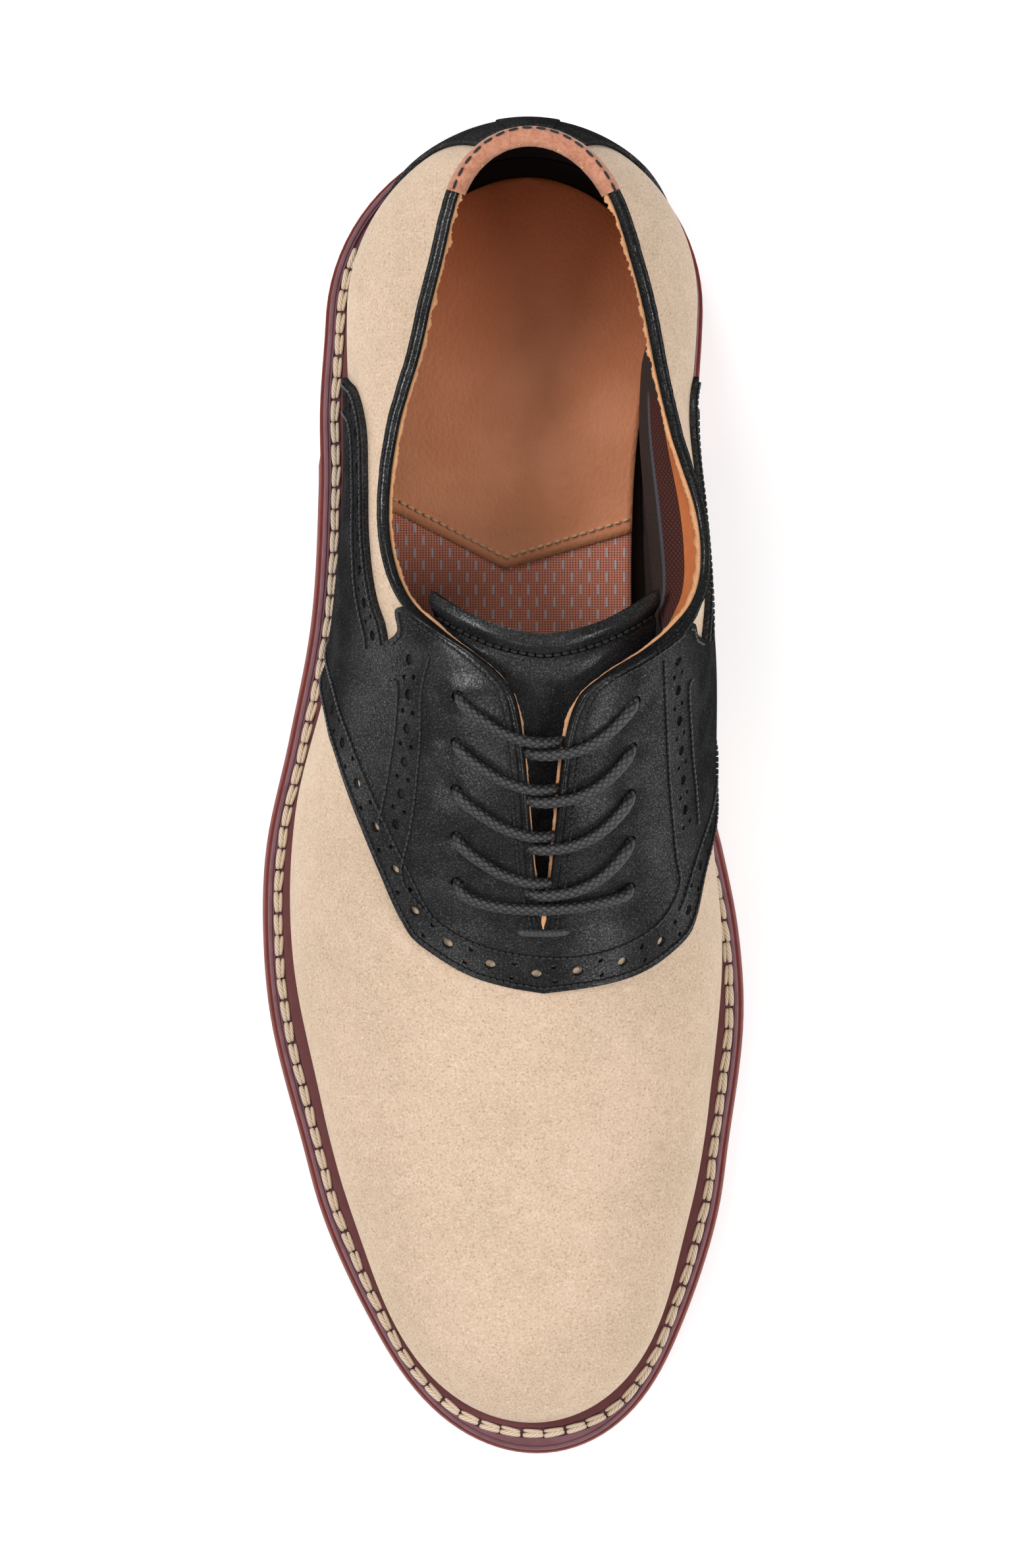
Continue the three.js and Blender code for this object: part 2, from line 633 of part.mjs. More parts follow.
// The saddle: a wing along the quarter, and the facings joined over the vamp. Where the two meet the quarter
// runs forward between them to a point.
function makeSaddle() {
  const [wingColumns, facingColumns, frontColumns, rowsBelow, rowsAbove] = [8, 9, 3, 7, 3];
  const rows = rowsBelow + rowsAbove;
  const notch = SADDLE_WING[SADDLE_WING.length - 1];
  const rear = SADDLE_WING[0].at;
  const front = SADDLE_FRONT[SADDLE_FRONT.length - 1].at;
  return overlay(
    SIDES.map((side) => {
      const key = side < 0 ? "out" : "in";
      const collarEnd = side < 0 ? COLLAR_END_OUT : COLLAR_END_IN;
      const low = (share) => {
        const welt = riseAboveWelt(side, turnAt(share), OVERLAY_TOP);
        const edge = share > SADDLE_FRONT[0].at ? column(SADDLE_FRONT, "at", share, key) : 0;
        return Math.min(1, Math.max(welt, edge));
      };
      const wing = patches(side, wingColumns, rowsBelow, (a, b) => {
        const share = THREE.MathUtils.lerp(rear, notch.at, a);
        const high = column(SADDLE_WING, "at", share, key);
        return { turn: turnAt(share), rise: THREE.MathUtils.lerp(low(share), high, b) };
      }, ...CUTTER);
      const facing = patches(side, facingColumns + frontColumns, rows, (a, b) => {
        const step = a * (facingColumns + frontColumns);
        const from = (start) =>
          step <= facingColumns
            ? THREE.MathUtils.lerp(start, THROAT_END, step / facingColumns)
            : THREE.MathUtils.lerp(THROAT_END, front, (step - facingColumns) / frontColumns);
        const bottom = low(from(notch.at));
        const middle = Math.max(bottom, notch[key]);
        const row = b * rows;
        if (row <= rowsBelow) {
          const rise = THREE.MathUtils.lerp(bottom, middle, row / rowsBelow);
          return { turn: turnAt(from(notch.at)), rise };
        }
        const above = (row - rowsBelow) / rowsAbove;
        const share = from(THREE.MathUtils.lerp(notch.at, collarEnd, above));
        const top = share < THROAT_END ? OVERRUN : 1;
        return { turn: turnAt(share), rise: THREE.MathUtils.lerp(middle, top, above) };
      }, ...CUTTER);
      return leather([...wing, ...facing]);
    }),
  );
}

function makeCounter() {
  const [columns, rows] = [7, 9];
  return overlay([leather(
    SIDES.flatMap((side) =>
      patches(side, columns, rows, (a, b) => {
        const turn = (height) => a * column(COUNTER_EDGE, "height", height, "turn");
        const low = riseAboveWelt(side, turn(0), OVERLAY_TOP);
        const high = riseAtDepth(side, turn(1), TAB_OUTSIDE + GAP);
        const rise = THREE.MathUtils.lerp(low, high, b);
        return { turn: turn(rise), rise };
      }, ...CUTTER),
    ),
  )]);
}

// Strip rolled over the top line, from start to end round one side. It hugs the wall outside, reaches over
// the edge, and with a length for inside it hugs the lining too.
function rolledPatches(side, start, end, { thickness, outside, over = WALL, inside = 0 }) {
  const point = (turn, depth, lift) => {
    if (depth > 0) return offsetFace(side, turn, riseAtDepth(side, turn, depth), lift);
    const up = face(side, turn, 1).sub(face(side, turn, 1 - 1e-4)).normalize();
    return offsetFace(side, turn, 1, lift).addScaledVector(up, -depth);
  };
  const crest = -GAP - thickness;
  const leg = -WALL - 1.5 * GAP;
  const profile = (turn) => [
    { out: point(turn, outside, GAP + thickness), back: point(turn, outside, GAP) },
    { out: point(turn, 0, GAP + thickness), back: point(turn, 0, GAP) },
    { out: point(turn, crest, 0), back: point(turn, -GAP, 0) },
    { out: point(turn, crest, -over), back: point(turn, -GAP, -over) },
    ...[0, inside / 2, inside].filter(() => inside > 0).map((depth) => ({
      out: point(turn, depth, leg - thickness),
      back: point(turn, depth, leg),
    })),
  ];
  // The ends lie on the straight facets of the upper, between its own stations.
  const endProfile = (turn) => {
    const before = Math.floor(turn * TURN_STEPS);
    const [p, q] = [before, before + 1].map((i) => profile(i / TURN_STEPS));
    const mix = (key, i) => p[i][key].clone().lerp(q[i][key], turn * TURN_STEPS - before);
    return p.map((_, i) => ({ out: mix("out", i), back: mix("back", i) }));
  };
  const inner = TURNS.filter((turn) => turn > start + 1e-3 && turn < end - 1e-3);
  const stations = [endProfile(start), ...inner.map(profile), endProfile(end)];
  const made = [];
  for (let i = 0; i < stations.length - 1; i++) {
    const [here, next] = [stations[i], stations[i + 1]];
    for (let j = 0; j < here.length - 1; j++) {
      const patch = [here[j], next[j], next[j + 1], here[j + 1]];
      made.push(side < 0 ? patch : patch.reverse());
    }
  }
  return made;
}

function makeBinding(side) {
  const start = TAB_TURN + GAP / LENGTH;
  const end = turnAt((side < 0 ? COLLAR_END_OUT : COLLAR_END_IN) - (2 * GAP) / LENGTH);
  const strip = { thickness: BINDING_THICKNESS, outside: BINDING_OUTSIDE, over: BINDING_OVER };
  return leather(rolledPatches(side, start, end, strip));
}

function makeHeelTab() {
  const strip = { thickness: TAB_THICKNESS, outside: TAB_OUTSIDE, inside: TAB_INSIDE };
  return leather(SIDES.flatMap((side) => rolledPatches(side, 0, TAB_TURN, strip)));
}

function makeTongue() {
  const [columns, rows] = [14, 5];
  const high = -WALL - 2 * GAP;
  return leather(
    SIDES.flatMap((side) =>
      patches(side, columns, rows, (a, b) => {
        const top = THREE.MathUtils.lerp(TONGUE_TOP_SIDE, TONGUE_TOP_MIDDLE, 1 - (1 - b) ** 2);
        const turn = turnAt(THREE.MathUtils.lerp(top, TONGUE_TOE_END, a));
        const half = THREE.MathUtils.lerp(TONGUE_TOP_WIDTH, TONGUE_TOE_WIDTH, a) / 2;
        return { turn, rise: riseAcross(side, turn, half * (1 - b), instepAt) };
      }, high - TONGUE_THICKNESS, high, instepAt),
    ),
  );
}

// Share of the length of a row of eyelets, which are spaced back from the end of the throat.
const eyeletShare = (row) =>
  THROAT_END - (LAST_EYELET_FROM_END + (EYELET_ROWS - 1 - row) * EYELET_PITCH) / LENGTH;

function punch(shape) {
  const depth = 4 * (WALL + OVERLAY_TOP);
  let solid = toManifold(shape);
  for (let row = 0; row < EYELET_ROWS; row++) {
    for (const side of SIDES) {
      const turn = turnAt(eyeletShare(row));
      const rise = riseAcross(side, turn, EYELET_OFFSET, topAt);
      const up = new THREE.Vector3(0, 0, 1);
      const frame = new THREE.Matrix4()
        .makeRotationFromQuaternion(
          new THREE.Quaternion().setFromUnitVectors(up, normal(side, turn, rise)),
        )
        .setPosition(face(side, turn, rise));
      const radius = EYELET_DIAMETER / 2;
      const pin = wasm.Manifold.cylinder(depth, radius, radius, 10, true).transform(frame.elements);
      solid = solid.subtract(pin);
    }
  }
  return fromManifold(solid);
}

// Round cord along a row of points.
function cord(points, diameter) {
  const path = new THREE.CatmullRomCurve3(points);
  const [steps, sides] = [points.length * 2, 6];
  const { normals, binormals } = path.computeFrenetFrames(steps);
  return stack(
    normals.map((across, i) =>
      Array.from({ length: sides }, (_, k) => {
        const angle = (2 * Math.PI * k) / sides;
        return path
          .getPointAt(i / steps)
          .addScaledVector(across, (Math.cos(angle) * diameter) / 2)
          .addScaledVector(binormals[i], (Math.sin(angle) * diameter) / 2);
      }),
    ),
    false,
  );
}

// The two laces of a row of eyelets, joined where they cross.
function makeCrossing(row) {
  const lift = OVERLAY_TOP + GAP + LACE_DIAMETER / 2;
  const [left, right] = SIDES.map((side) => {
    const points = LACE_PATH.map(({ beside, ahead }) => {
      const share = eyeletShare(row) + (ahead * EYELET_PITCH) / LENGTH;
      return overInstep(side * beside * EYELET_OFFSET, share, lift);
    });
    return toManifold(cord(points, LACE_DIAMETER));
  });
  return fromManifold(left.add(right));
}

function makeBar() {
  const lift = OVERLAY_TOP + GAP + LACE_DIAMETER / 2;
  const places = [-0.88, -0.5, 0, 0.5, 0.88];
  return cord(
    places.map((beside) => {
      const bow = (1 - beside ** 2) * 0.35 * EYELET_PITCH;
      return overInstep(beside * EYELET_OFFSET, eyeletShare(EYELET_ROWS - 1) + bow / LENGTH, lift);
    }),
    LACE_DIAMETER,
  );
}

// Short bar over the end of the throat.
function makeTack() {
  const share = THROAT_END - GAP / LENGTH;
  const rings = [-0.5, -0.25, 0, 0.25, 0.5].map((place) => {
    const at = (ahead, lift) => overInstep(place * TACK_WIDTH, share + ahead / LENGTH, lift);
    const [low, high] = [OVERLAY_TOP + GAP, OVERLAY_TOP + GAP + TACK_THICKNESS];
    return [at(0, high), at(TACK_LENGTH, high), at(TACK_LENGTH, low), at(0, low)];
  });
  return stack(rings, false);
}

const materialOf = (color, roughness) => new THREE.MeshStandardMaterial({ color, roughness, metalness: 0 });
const SOLE_RUBBER = materialOf(0x7a3630, 0.6);
const WELT_RUBBER = materialOf(0x7d5d66, 0.6);
const QUARTER_LEATHER = materialOf(0xd8c3a0, 0.9);
const SADDLE_LEATHER = materialOf(0x1b1b1d, 0.45);
const LINING_LEATHER = materialOf(0x9a5a3c, 0.7);
const TAB_LEATHER = materialOf(0xb9795a, 0.8);
const LACE_CORD = materialOf(0x232326, 0.8);

const shoe = new THREE.Group();
function add(name, shape, material) {
  const mesh = new THREE.Mesh(shape, material);
  mesh.name = name;
  shoe.add(mesh);
}

add("outsole", makeOutsole(), SOLE_RUBBER);
add("welt", makeWelt(), WELT_RUBBER);
add("insole", makeInsole(), LINING_LEATHER);
add("upper", punch(shell(-WALL, 0)), QUARTER_LEATHER);
add("saddle", punch(makeSaddle()), SADDLE_LEATHER);
add("counter", makeCounter(), SADDLE_LEATHER);
add("collar_binding_outer", makeBinding(-1), SADDLE_LEATHER);
add("collar_binding_inner", makeBinding(1), SADDLE_LEATHER);
add("heel_tab", makeHeelTab(), TAB_LEATHER);
add("tongue", makeTongue(), SADDLE_LEATHER);
for (let row = 0; row < EYELET_ROWS - 1; row++) add(`lace_crossing_${row + 1}`, makeCrossing(row), LACE_CORD);
add("lace_bar", makeBar(), LACE_CORD);
add("throat_tack", makeTack(), SADDLE_LEATHER);

export default shoe;
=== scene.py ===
# %% [markdown]
# # A saddle shoe for the right foot
# A saddle shoe is a low laced shoe with a band of darker leather, the saddle, laid over its instep. This one
# has a cream nubuck body, a black saddle and counter, and a brick-red rubber sole with a stitched welt.
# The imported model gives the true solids. This lesson dresses them: each leather piece is laid on the same
# curved wall as its solid, so that panels, seams and laces all sit on one last.

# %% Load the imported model
import math
from functools import lru_cache

import bmesh
import bpy
from mathutils import Matrix, Vector, noise
from mathutils.bvhtree import BVHTree


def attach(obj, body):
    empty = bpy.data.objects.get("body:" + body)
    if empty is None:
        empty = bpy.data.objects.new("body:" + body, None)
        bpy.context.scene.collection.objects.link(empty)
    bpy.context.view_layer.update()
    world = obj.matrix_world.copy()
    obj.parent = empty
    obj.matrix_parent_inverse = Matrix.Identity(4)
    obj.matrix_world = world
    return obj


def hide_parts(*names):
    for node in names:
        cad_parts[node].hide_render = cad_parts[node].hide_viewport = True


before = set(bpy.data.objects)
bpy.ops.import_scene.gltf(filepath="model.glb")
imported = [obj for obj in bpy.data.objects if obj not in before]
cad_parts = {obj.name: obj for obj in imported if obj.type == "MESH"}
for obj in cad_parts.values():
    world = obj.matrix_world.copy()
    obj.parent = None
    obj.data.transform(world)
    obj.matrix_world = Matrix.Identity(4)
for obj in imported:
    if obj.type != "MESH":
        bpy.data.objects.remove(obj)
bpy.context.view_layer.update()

MM = 0.001
scene = bpy.context.scene

# %% [markdown]
# ## The camera
# The shoe is looked at from straight above. A long lens from 1.7 m keeps the sides nearly upright, as in a
# catalogue picture, and still lets the wide toe come a little closer than the low waist.

# %% Place the camera
CAMERA_HEIGHT = 1.7
CAMERA_ASIDE = 0.002
LENS = 172

camera = bpy.data.objects.new("camera", bpy.data.cameras.new("camera"))
camera.data.lens = LENS
camera.location = (CAMERA_ASIDE, CAMERA_ASIDE, CAMERA_HEIGHT)
scene.collection.objects.link(camera)
scene.camera = camera
scene.view_settings.view_transform = "Standard"  # colours as a catalogue shows them
print("camera at", tuple(camera.location), "with a lens of", LENS, "mm")

# %% [markdown]
# ## The last
# A shoemaker pulls every piece over one wooden foot, the last. Here the last is a function: given the side of
# the foot, how far round the shoe a point lies and how far up the wall, it gives the point on the leather.
# Short tables hold the outlines as shares of the length, the ball width and the instep, and a smooth curve
# runs through their rows. A sculpted mesh could do the same, but then no seam would know where it lies.

# %% Sizes of the shoe
LENGTH = 298 * MM
BALL_WIDTH = 108 * MM
INSTEP_RISE = 78.4 * MM
HEEL_HEIGHT = 25.5 * MM
FOREFOOT_THICKNESS = 8 * MM
TOE_SPRING = 9 * MM
HEEL_LENGTH = 74 * MM
BREAST_SLOPE = 3 * MM
HEEL_ROUND = 42 * MM
TOE_ROUND = 60 * MM
TOE_BOX_ROUND = 36 * MM
WALL = 1.8 * MM
OVERLAY = 1.2 * MM
GAP = 0.3 * MM
WELT_HEIGHT = 4.2 * MM
WELT_INSET = 1.3 * MM
INSOLE_THICKNESS = 5 * MM
BELOW_BULGE = 0.3  # share of the way up the wall at which it is widest
SPRING_START = 0.71  # share of the length at which the toe starts to rise
WAIST = (0.18, 0.57)  # shares between which the heel's height falls to the forefoot's
# How far the foot, the widest line and the top line of the upper stay inside the sole, at heel and toe.
FOOT_ENDS, BULGE_ENDS, TOP_ENDS = (6.4 * MM, 10.6 * MM), (2.2 * MM, 8.1 * MM), (6.3 * MM, 8.1 * MM)
SIDES = (-1, 1)  # outer side of the foot, inner side


def table(names, *rows):
    return [dict(zip(names.split(), row)) for row in rows]


SOLE_OUTLINE = table(
    "at axis half",
    (0, 0.042, 0.393), (0.15, 0.024, 0.396), (0.21, 0.013, 0.396), (0.27, 0.008, 0.39), (0.37, -0.01, 0.389),
    (0.46, -0.022, 0.425), (0.54, -0.017, 0.478), (0.61, -0.002, 0.5), (0.68, 0.012, 0.494),
    (0.78, 0.03, 0.44), (0.9, 0.052, 0.38), (1, 0.072, 0.384),
)
UPPER_SECTIONS = table(
    "at axis half tuck_out tuck_in bulge_out bulge_in",
    (0, 0.053, 0.36, 0.03, 0.03, 0.31, 0.31),
    (0.155, 0.04, 0.357, 0.042, 0.051, 0.29, 0.33),
    (0.225, 0.0367, 0.3493, 0.036, 0.062, 0.27, 0.36),
    (0.294, 0.0408, 0.3583, 0.03, 0.084, 0.25, 0.39),
    (0.41, 0.037, 0.39, 0.032, 0.115, 0.21, 0.36),
    (0.525, 0.002, 0.43, 0.028, 0.065, 0.18, 0.23),
    (0.636, 0.011, 0.446, 0.023, 0.028, 0.155, 0.165),
    (0.756, 0.028, 0.401, 0.02, 0.02, 0.14, 0.14),
    (0.87, 0.043, 0.348, 0.019, 0.019, 0.125, 0.125),
    (1, 0.063, 0.366, 0.019, 0.019, 0.1, 0.1),
)
TOP_LINE = table(
    "at axis half rise lean",
    (0, 0.056, 0.235, 0.72, 35), (0.084, 0.069, 0.209, 0.7, 35), (0.155, 0.07, 0.237, 0.66, 38),
    (0.225, 0.065, 0.284, 0.645, 44), (0.288, 0.081, 0.319, 0.685, 52), (0.331, 0.093, 0.315, 0.76, 60),
    (0.359, 0.102, 0.287, 0.835, 67), (0.38, 0.111, 0.233, 0.9, 73), (0.398, 0.112, 0.168, 0.955, 78),
    (0.414, 0.1, 0.108, 0.985, 82), (0.43, 0.09, 0.07, 1, 85), (0.468, 0.084, 0.046, 0.975, 88),
    (0.525, 0.083, 0.032, 0.9, 90), (0.572, 0.083, 0.02, 0.81, 90), (0.606, 0.084, 0, 0.742, 90),
    (0.66, 0.083, 0, 0.65, 90), (0.72, 0.081, 0, 0.57, 90), (0.78, 0.078, 0, 0.505, 90),
    (0.85, 0.074, 0, 0.44, 90), (0.93, 0.068, 0, 0.38, 90), (1, 0.063, 0, 0.32, 90),
)
TONGUE_LINE = table(
    "at axis rise",
    (0.34, 0.088, 0.92), (0.38, 0.088, 0.94), (0.42, 0.087, 0.95), (0.468, 0.084, 0.935),
    (0.525, 0.083, 0.865), (0.572, 0.083, 0.785), (0.606, 0.084, 0.728), (0.66, 0.083, 0.643),
)
THROAT_END = 0.606
COLLAR_END = {-1: 0.362, 1: 0.374}
print(len(UPPER_SECTIONS), "sections of the upper,", len(TOP_LINE), "points of its top line")


# %% Curves through the tables
def column(rows, key, share, value):
    """A column of a table at any share, through its rows as a smooth curve."""
    last = len(rows) - 1
    i = 0
    while i < last - 1 and share > rows[i + 1][key]:
        i += 1

    def slope(k):
        a, b = rows[max(k - 1, 0)], rows[min(k + 1, last)]
        return (b[value] - a[value]) / (b[key] - a[key])

    p, q = rows[i], rows[i + 1]
    span = q[key] - p[key]
    u = min(max((share - p[key]) / span, 0), 1)
    u2, u3 = u * u, u * u * u
    start = p[value] * (2 * u3 - 3 * u2 + 1) + slope(i) * span * (u3 - 2 * u2 + u)
    return start + q[value] * (3 * u2 - 2 * u3) + slope(i + 1) * span * (u3 - u2)


def mix(a, b, share):
    return a + (b - a) * share


def smooth(value, low, high):
    u = min(max((value - low) / (high - low), 0), 1)
    return u * u * (3 - 2 * u)


def round_end(distance, radius):
    """Fall-off of a round end: 0 at the end and 1 from one radius on."""
    q = min(max(distance / radius, 0), 1)
    return math.sqrt(q * (2 - q))


HEEL_SHARE, TOE_SHARE = HEEL_ROUND / LENGTH, TOE_ROUND / LENGTH
TURN_RATE = (HEEL_SHARE + TOE_SHARE) * math.pi / 2 + 1 - HEEL_SHARE - TOE_SHARE
HEEL_TURN, TOE_TURN = (share * math.pi / 2 / TURN_RATE for share in (HEEL_SHARE, TOE_SHARE))
ROUND_LENGTH = LENGTH * TURN_RATE  # way round one side, from the back to the toe


def share_at(turn):
    """Share of the length at a turn, which runs from 0 at the back to 1 at the toe."""
    if turn < HEEL_TURN:
        return HEEL_SHARE * (1 - math.cos(math.pi / 2 * turn / HEEL_TURN))
    if turn > 1 - TOE_TURN:
        return 1 - TOE_SHARE * (1 - math.cos(math.pi / 2 * (1 - turn) / TOE_TURN))
    return HEEL_SHARE + (turn - HEEL_TURN) * TURN_RATE


def solve(rising, value, low=0.0, high=1.0, steps=40):
    for _ in range(steps):
        middle = (low + high) / 2
        if rising(middle) < value:
            low = middle
        else:
            high = middle
    return (low + high) / 2


@lru_cache(maxsize=None)
def turn_at(share):
    return solve(share_at, share)


def sole_top(along):
    share = along / LENGTH
    up = max(0, (share - SPRING_START) / (1 - SPRING_START)) ** 1.5
    return mix(HEEL_HEIGHT, FOREFOOT_THICKNESS, smooth(share, *WAIST)) + TOE_SPRING * up


def sole_bottom(along):
    return 0 if along < HEEL_LENGTH else max(0, sole_top(along) - FOREFOOT_THICKNESS)


def place(x, along, z):
    return Vector((x, LENGTH / 2 - along, z))


print("the sole is", round(sole_top(0) / MM, 1), "mm high at the heel")

# %% The wall of the upper
STEP = 1e-4  # for slopes


@lru_cache(maxsize=None)
def plan_point(side, turn):
    share = share_at(turn)
    end = round_end(share * LENGTH, HEEL_ROUND) * round_end((1 - share) * LENGTH, TOE_ROUND)
    half = column(SOLE_OUTLINE, "at", share, "half") * BALL_WIDTH * end
    return Vector((column(SOLE_OUTLINE, "at", share, "axis") * BALL_WIDTH + side * half, share * LENGTH))


@lru_cache(maxsize=None)
def plan_side(side, turn):
    """Outward direction of the sole's outline, in plan."""
    step = 1e-3
    along = plan_point(side, min(turn + step, 1)) - plan_point(side, max(turn - step, 0))
    if turn < step or turn > 1 - step:
        along.y = 0
    return (Vector((along.y, -along.x)) * side).normalized()


def outline(side, turn, offset):
    return plan_point(side, turn) + plan_side(side, turn) * offset


@lru_cache(maxsize=None)
def top_at(share, line):
    if line == "tongue":
        axis, rise = (column(TONGUE_LINE, "at", share, key) for key in ("axis", "rise"))
        return axis * BALL_WIDTH, 0, rise * INSTEP_RISE, math.pi / 2
    axis, half, rise, lean = (column(TOP_LINE, "at", share, key) for key in ("axis", "half", "rise", "lean"))
    half = 0 if half < 1e-3 else half * BALL_WIDTH * round_end(share * LENGTH, HEEL_ROUND)
    return axis * BALL_WIDTH, half, rise * INSTEP_RISE, math.radians(lean)


@lru_cache(maxsize=None)
def section(side, turn, line):
    """Foot, widest point and top of the wall at a turn, and how far it leans over at the top."""
    share = share_at(turn)
    along_of = lambda heel, toe: heel + share * (LENGTH - heel - toe)
    end = round_end(share * LENGTH, HEEL_ROUND) * round_end((1 - share) * LENGTH, TOE_ROUND)
    read = lambda key: column(UPPER_SECTIONS, "at", share, key)
    axis, half = read("axis") * BALL_WIDTH, read("half") * BALL_WIDTH
    tuck = read("tuck_out" if side < 0 else "tuck_in") * BALL_WIDTH
    foot_along, top_along = along_of(*FOOT_ENDS), along_of(*TOP_ENDS)
    foot = place(axis + side * (half - tuck) * end, foot_along, sole_top(foot_along) + GAP)
    height = foot.z + read("bulge_out" if side < 0 else "bulge_in") * INSTEP_RISE
    bulge = place(axis + side * half * end, along_of(*BULGE_ENDS), height)
    top_axis, top_half, rise, lean = top_at(share, line)
    level = sole_top(top_along) + GAP + rise
    top_z = bulge.z + (level - bulge.z) * round_end((1 - share) * LENGTH, TOE_BOX_ROUND)
    return foot, bulge, place(top_axis + side * top_half, top_along, top_z), lean


def face(side, turn, rise, line="collar"):
    """Point on the outer face. rise runs from 0 at the sole to 1 at the top line."""
    foot, bulge, top, lean = section(side, turn, line)
    if rise <= BELOW_BULGE:
        u = rise / BELOW_BULGE
        out = math.sin(math.pi / 2 * u)
        return Vector((mix(foot.x, bulge.x, out), mix(foot.y, bulge.y, out), mix(foot.z, bulge.z, u)))
    angle = lean * (rise - BELOW_BULGE) / (1 - BELOW_BULGE)
    out = (math.cos(angle) - math.cos(lean)) / (1 - math.cos(lean))
    z = mix(bulge.z, top.z, math.sin(angle) / math.sin(lean))
    return Vector((mix(top.x, bulge.x, out), mix(top.y, bulge.y, out), z))


def side_normal(side, turn, rise, line):
    if turn > 1 - STEP:
        rise = min(rise, BELOW_BULGE)
    across = face(side, min(turn + STEP, 1), rise, line) - face(side, max(turn - STEP, 0), rise, line)
    up = face(side, turn, rise + STEP, line) - face(side, turn, max(rise - STEP, 0), line)
    if turn > 1 - STEP:
        up = face(side, 1, rise, line) - face(side, 1, rise - STEP, line)
    return (across.cross(up) * -side).normalized()


def normal(side, turn, rise, line="collar"):
    """Outward direction, shared by both sides where they meet."""
    here = side_normal(side, turn, rise, line)
    on_ridge = abs(rise - 1) < 1e-6 and top_at(share_at(turn), line)[1] == 0
    if turn < 1e-6 or turn > 1 - 1e-6 or on_ridge:
        return (here + side_normal(-side, turn, rise, line)).normalized()
    return here


def off_face(side, turn, rise, lift, line="collar"):
    return face(side, turn, rise, line) + normal(side, turn, rise, line) * lift


@lru_cache(maxsize=None)
def depths(side, turn):
    """How far below the top line each step down the wall lies, measured along the leather."""
    steps = 50
    points = [face(side, turn, 1 - i / steps) for i in range(steps + 1)]
    found = [0.0]
    for a, b in zip(points, points[1:]):
        found.append(found[-1] + (b - a).length)
    return found


def depth_at(side, turn, rise):
    found = depths(side, turn)
    step = min(max((1 - rise) * (len(found) - 1), 0), len(found) - 1.001)
    i = int(step)
    return mix(found[i], found[i + 1], step - i)


def rise_at_depth(side, turn, depth):
    return 1 - solve(lambda u: depth_at(side, turn, 1 - u), depth)


def rise_at_height(side, turn, height):
    foot, bulge, _, _ = section(side, turn, "collar")
    return BELOW_BULGE * height / (bulge.z - foot.z)


@lru_cache(maxsize=None)
def rise_above_welt(side, turn):
    """Share of the way up at which an overlay clears the welt."""
    lift = GAP + OVERLAY

    def height(rise):
        point = off_face(side, turn, rise, lift)
        return point.z - sole_top(LENGTH / 2 - point.y)

    return solve(height, WELT_HEIGHT + 2 * GAP, 0, BELOW_BULGE, steps=16)


def rise_across(side, turn, distance, line="collar"):
    """Share of the way up at a distance from the middle of the throat, in plan."""
    axis, half, _, _ = top_at(share_at(turn), line)
    if distance <= half:
        return 1.0
    towards = lambda rise: -side * (face(side, turn, rise, line).x - axis)
    return solve(towards, -distance, BELOW_BULGE, 1, steps=24)


def over_instep(beside, share, lift):
    """Point over the instep, beside the middle of the throat, lifted off the upper."""
    side = -1 if beside < 0 else 1
    turn = turn_at(share)
    rise = rise_across(side, turn, abs(beside))
    point = off_face(side, turn, rise, lift)
    if rise >= 1:
        point.x = top_at(share, "collar")[0] + beside
    return point


print("top of the collar at the back, mm:", [round(c / MM, 1) for c in face(1, 0, 1)])

# %% [markdown]
# ## Shader maths as plain expressions
# A finish is a small network of nodes. Wiring it by hand hides the idea, so one class wraps a socket and
# gives it the usual signs, and one method adds any other node. The finishes below then read as sums.


# %% Write node networks as sums
class Value:
    """A socket that can be added, subtracted, multiplied and divided."""

    def __init__(self, finish, socket):
        self.finish, self.socket = finish, socket

    def math(self, operation, a, b=0.0):
        return self.finish.node("ShaderNodeMath", {"operation": operation}, {0: a, 1: b})

    def fraction(self):
        return self.math("FRACT", self)

    def absolute(self):
        return self.math("ABSOLUTE", self)

    def most(self, other):
        return self.math("MAXIMUM", self, other)

    def least(self, other):
        return self.math("MINIMUM", self, other)

    def floor(self):
        return self.math("FLOOR", self)
    def between(self, low, high, start=0.0, end=1.0):
        """A soft step: start below low, end above high."""
        settings = {"interpolation_type": "SMOOTHSTEP"}
        return self.finish.node("ShaderNodeMapRange", settings, {0: self, 1: low, 2: high, 3: start, 4: end})
for word, operation in (("add", "ADD"), ("sub", "SUBTRACT"), ("mul", "MULTIPLY"), ("truediv", "DIVIDE")):
    setattr(Value, f"__{word}__", lambda a, b, operation=operation: a.math(operation, a, b))
    setattr(Value, f"__r{word}__", lambda a, b, operation=operation: a.math(operation, b, a))

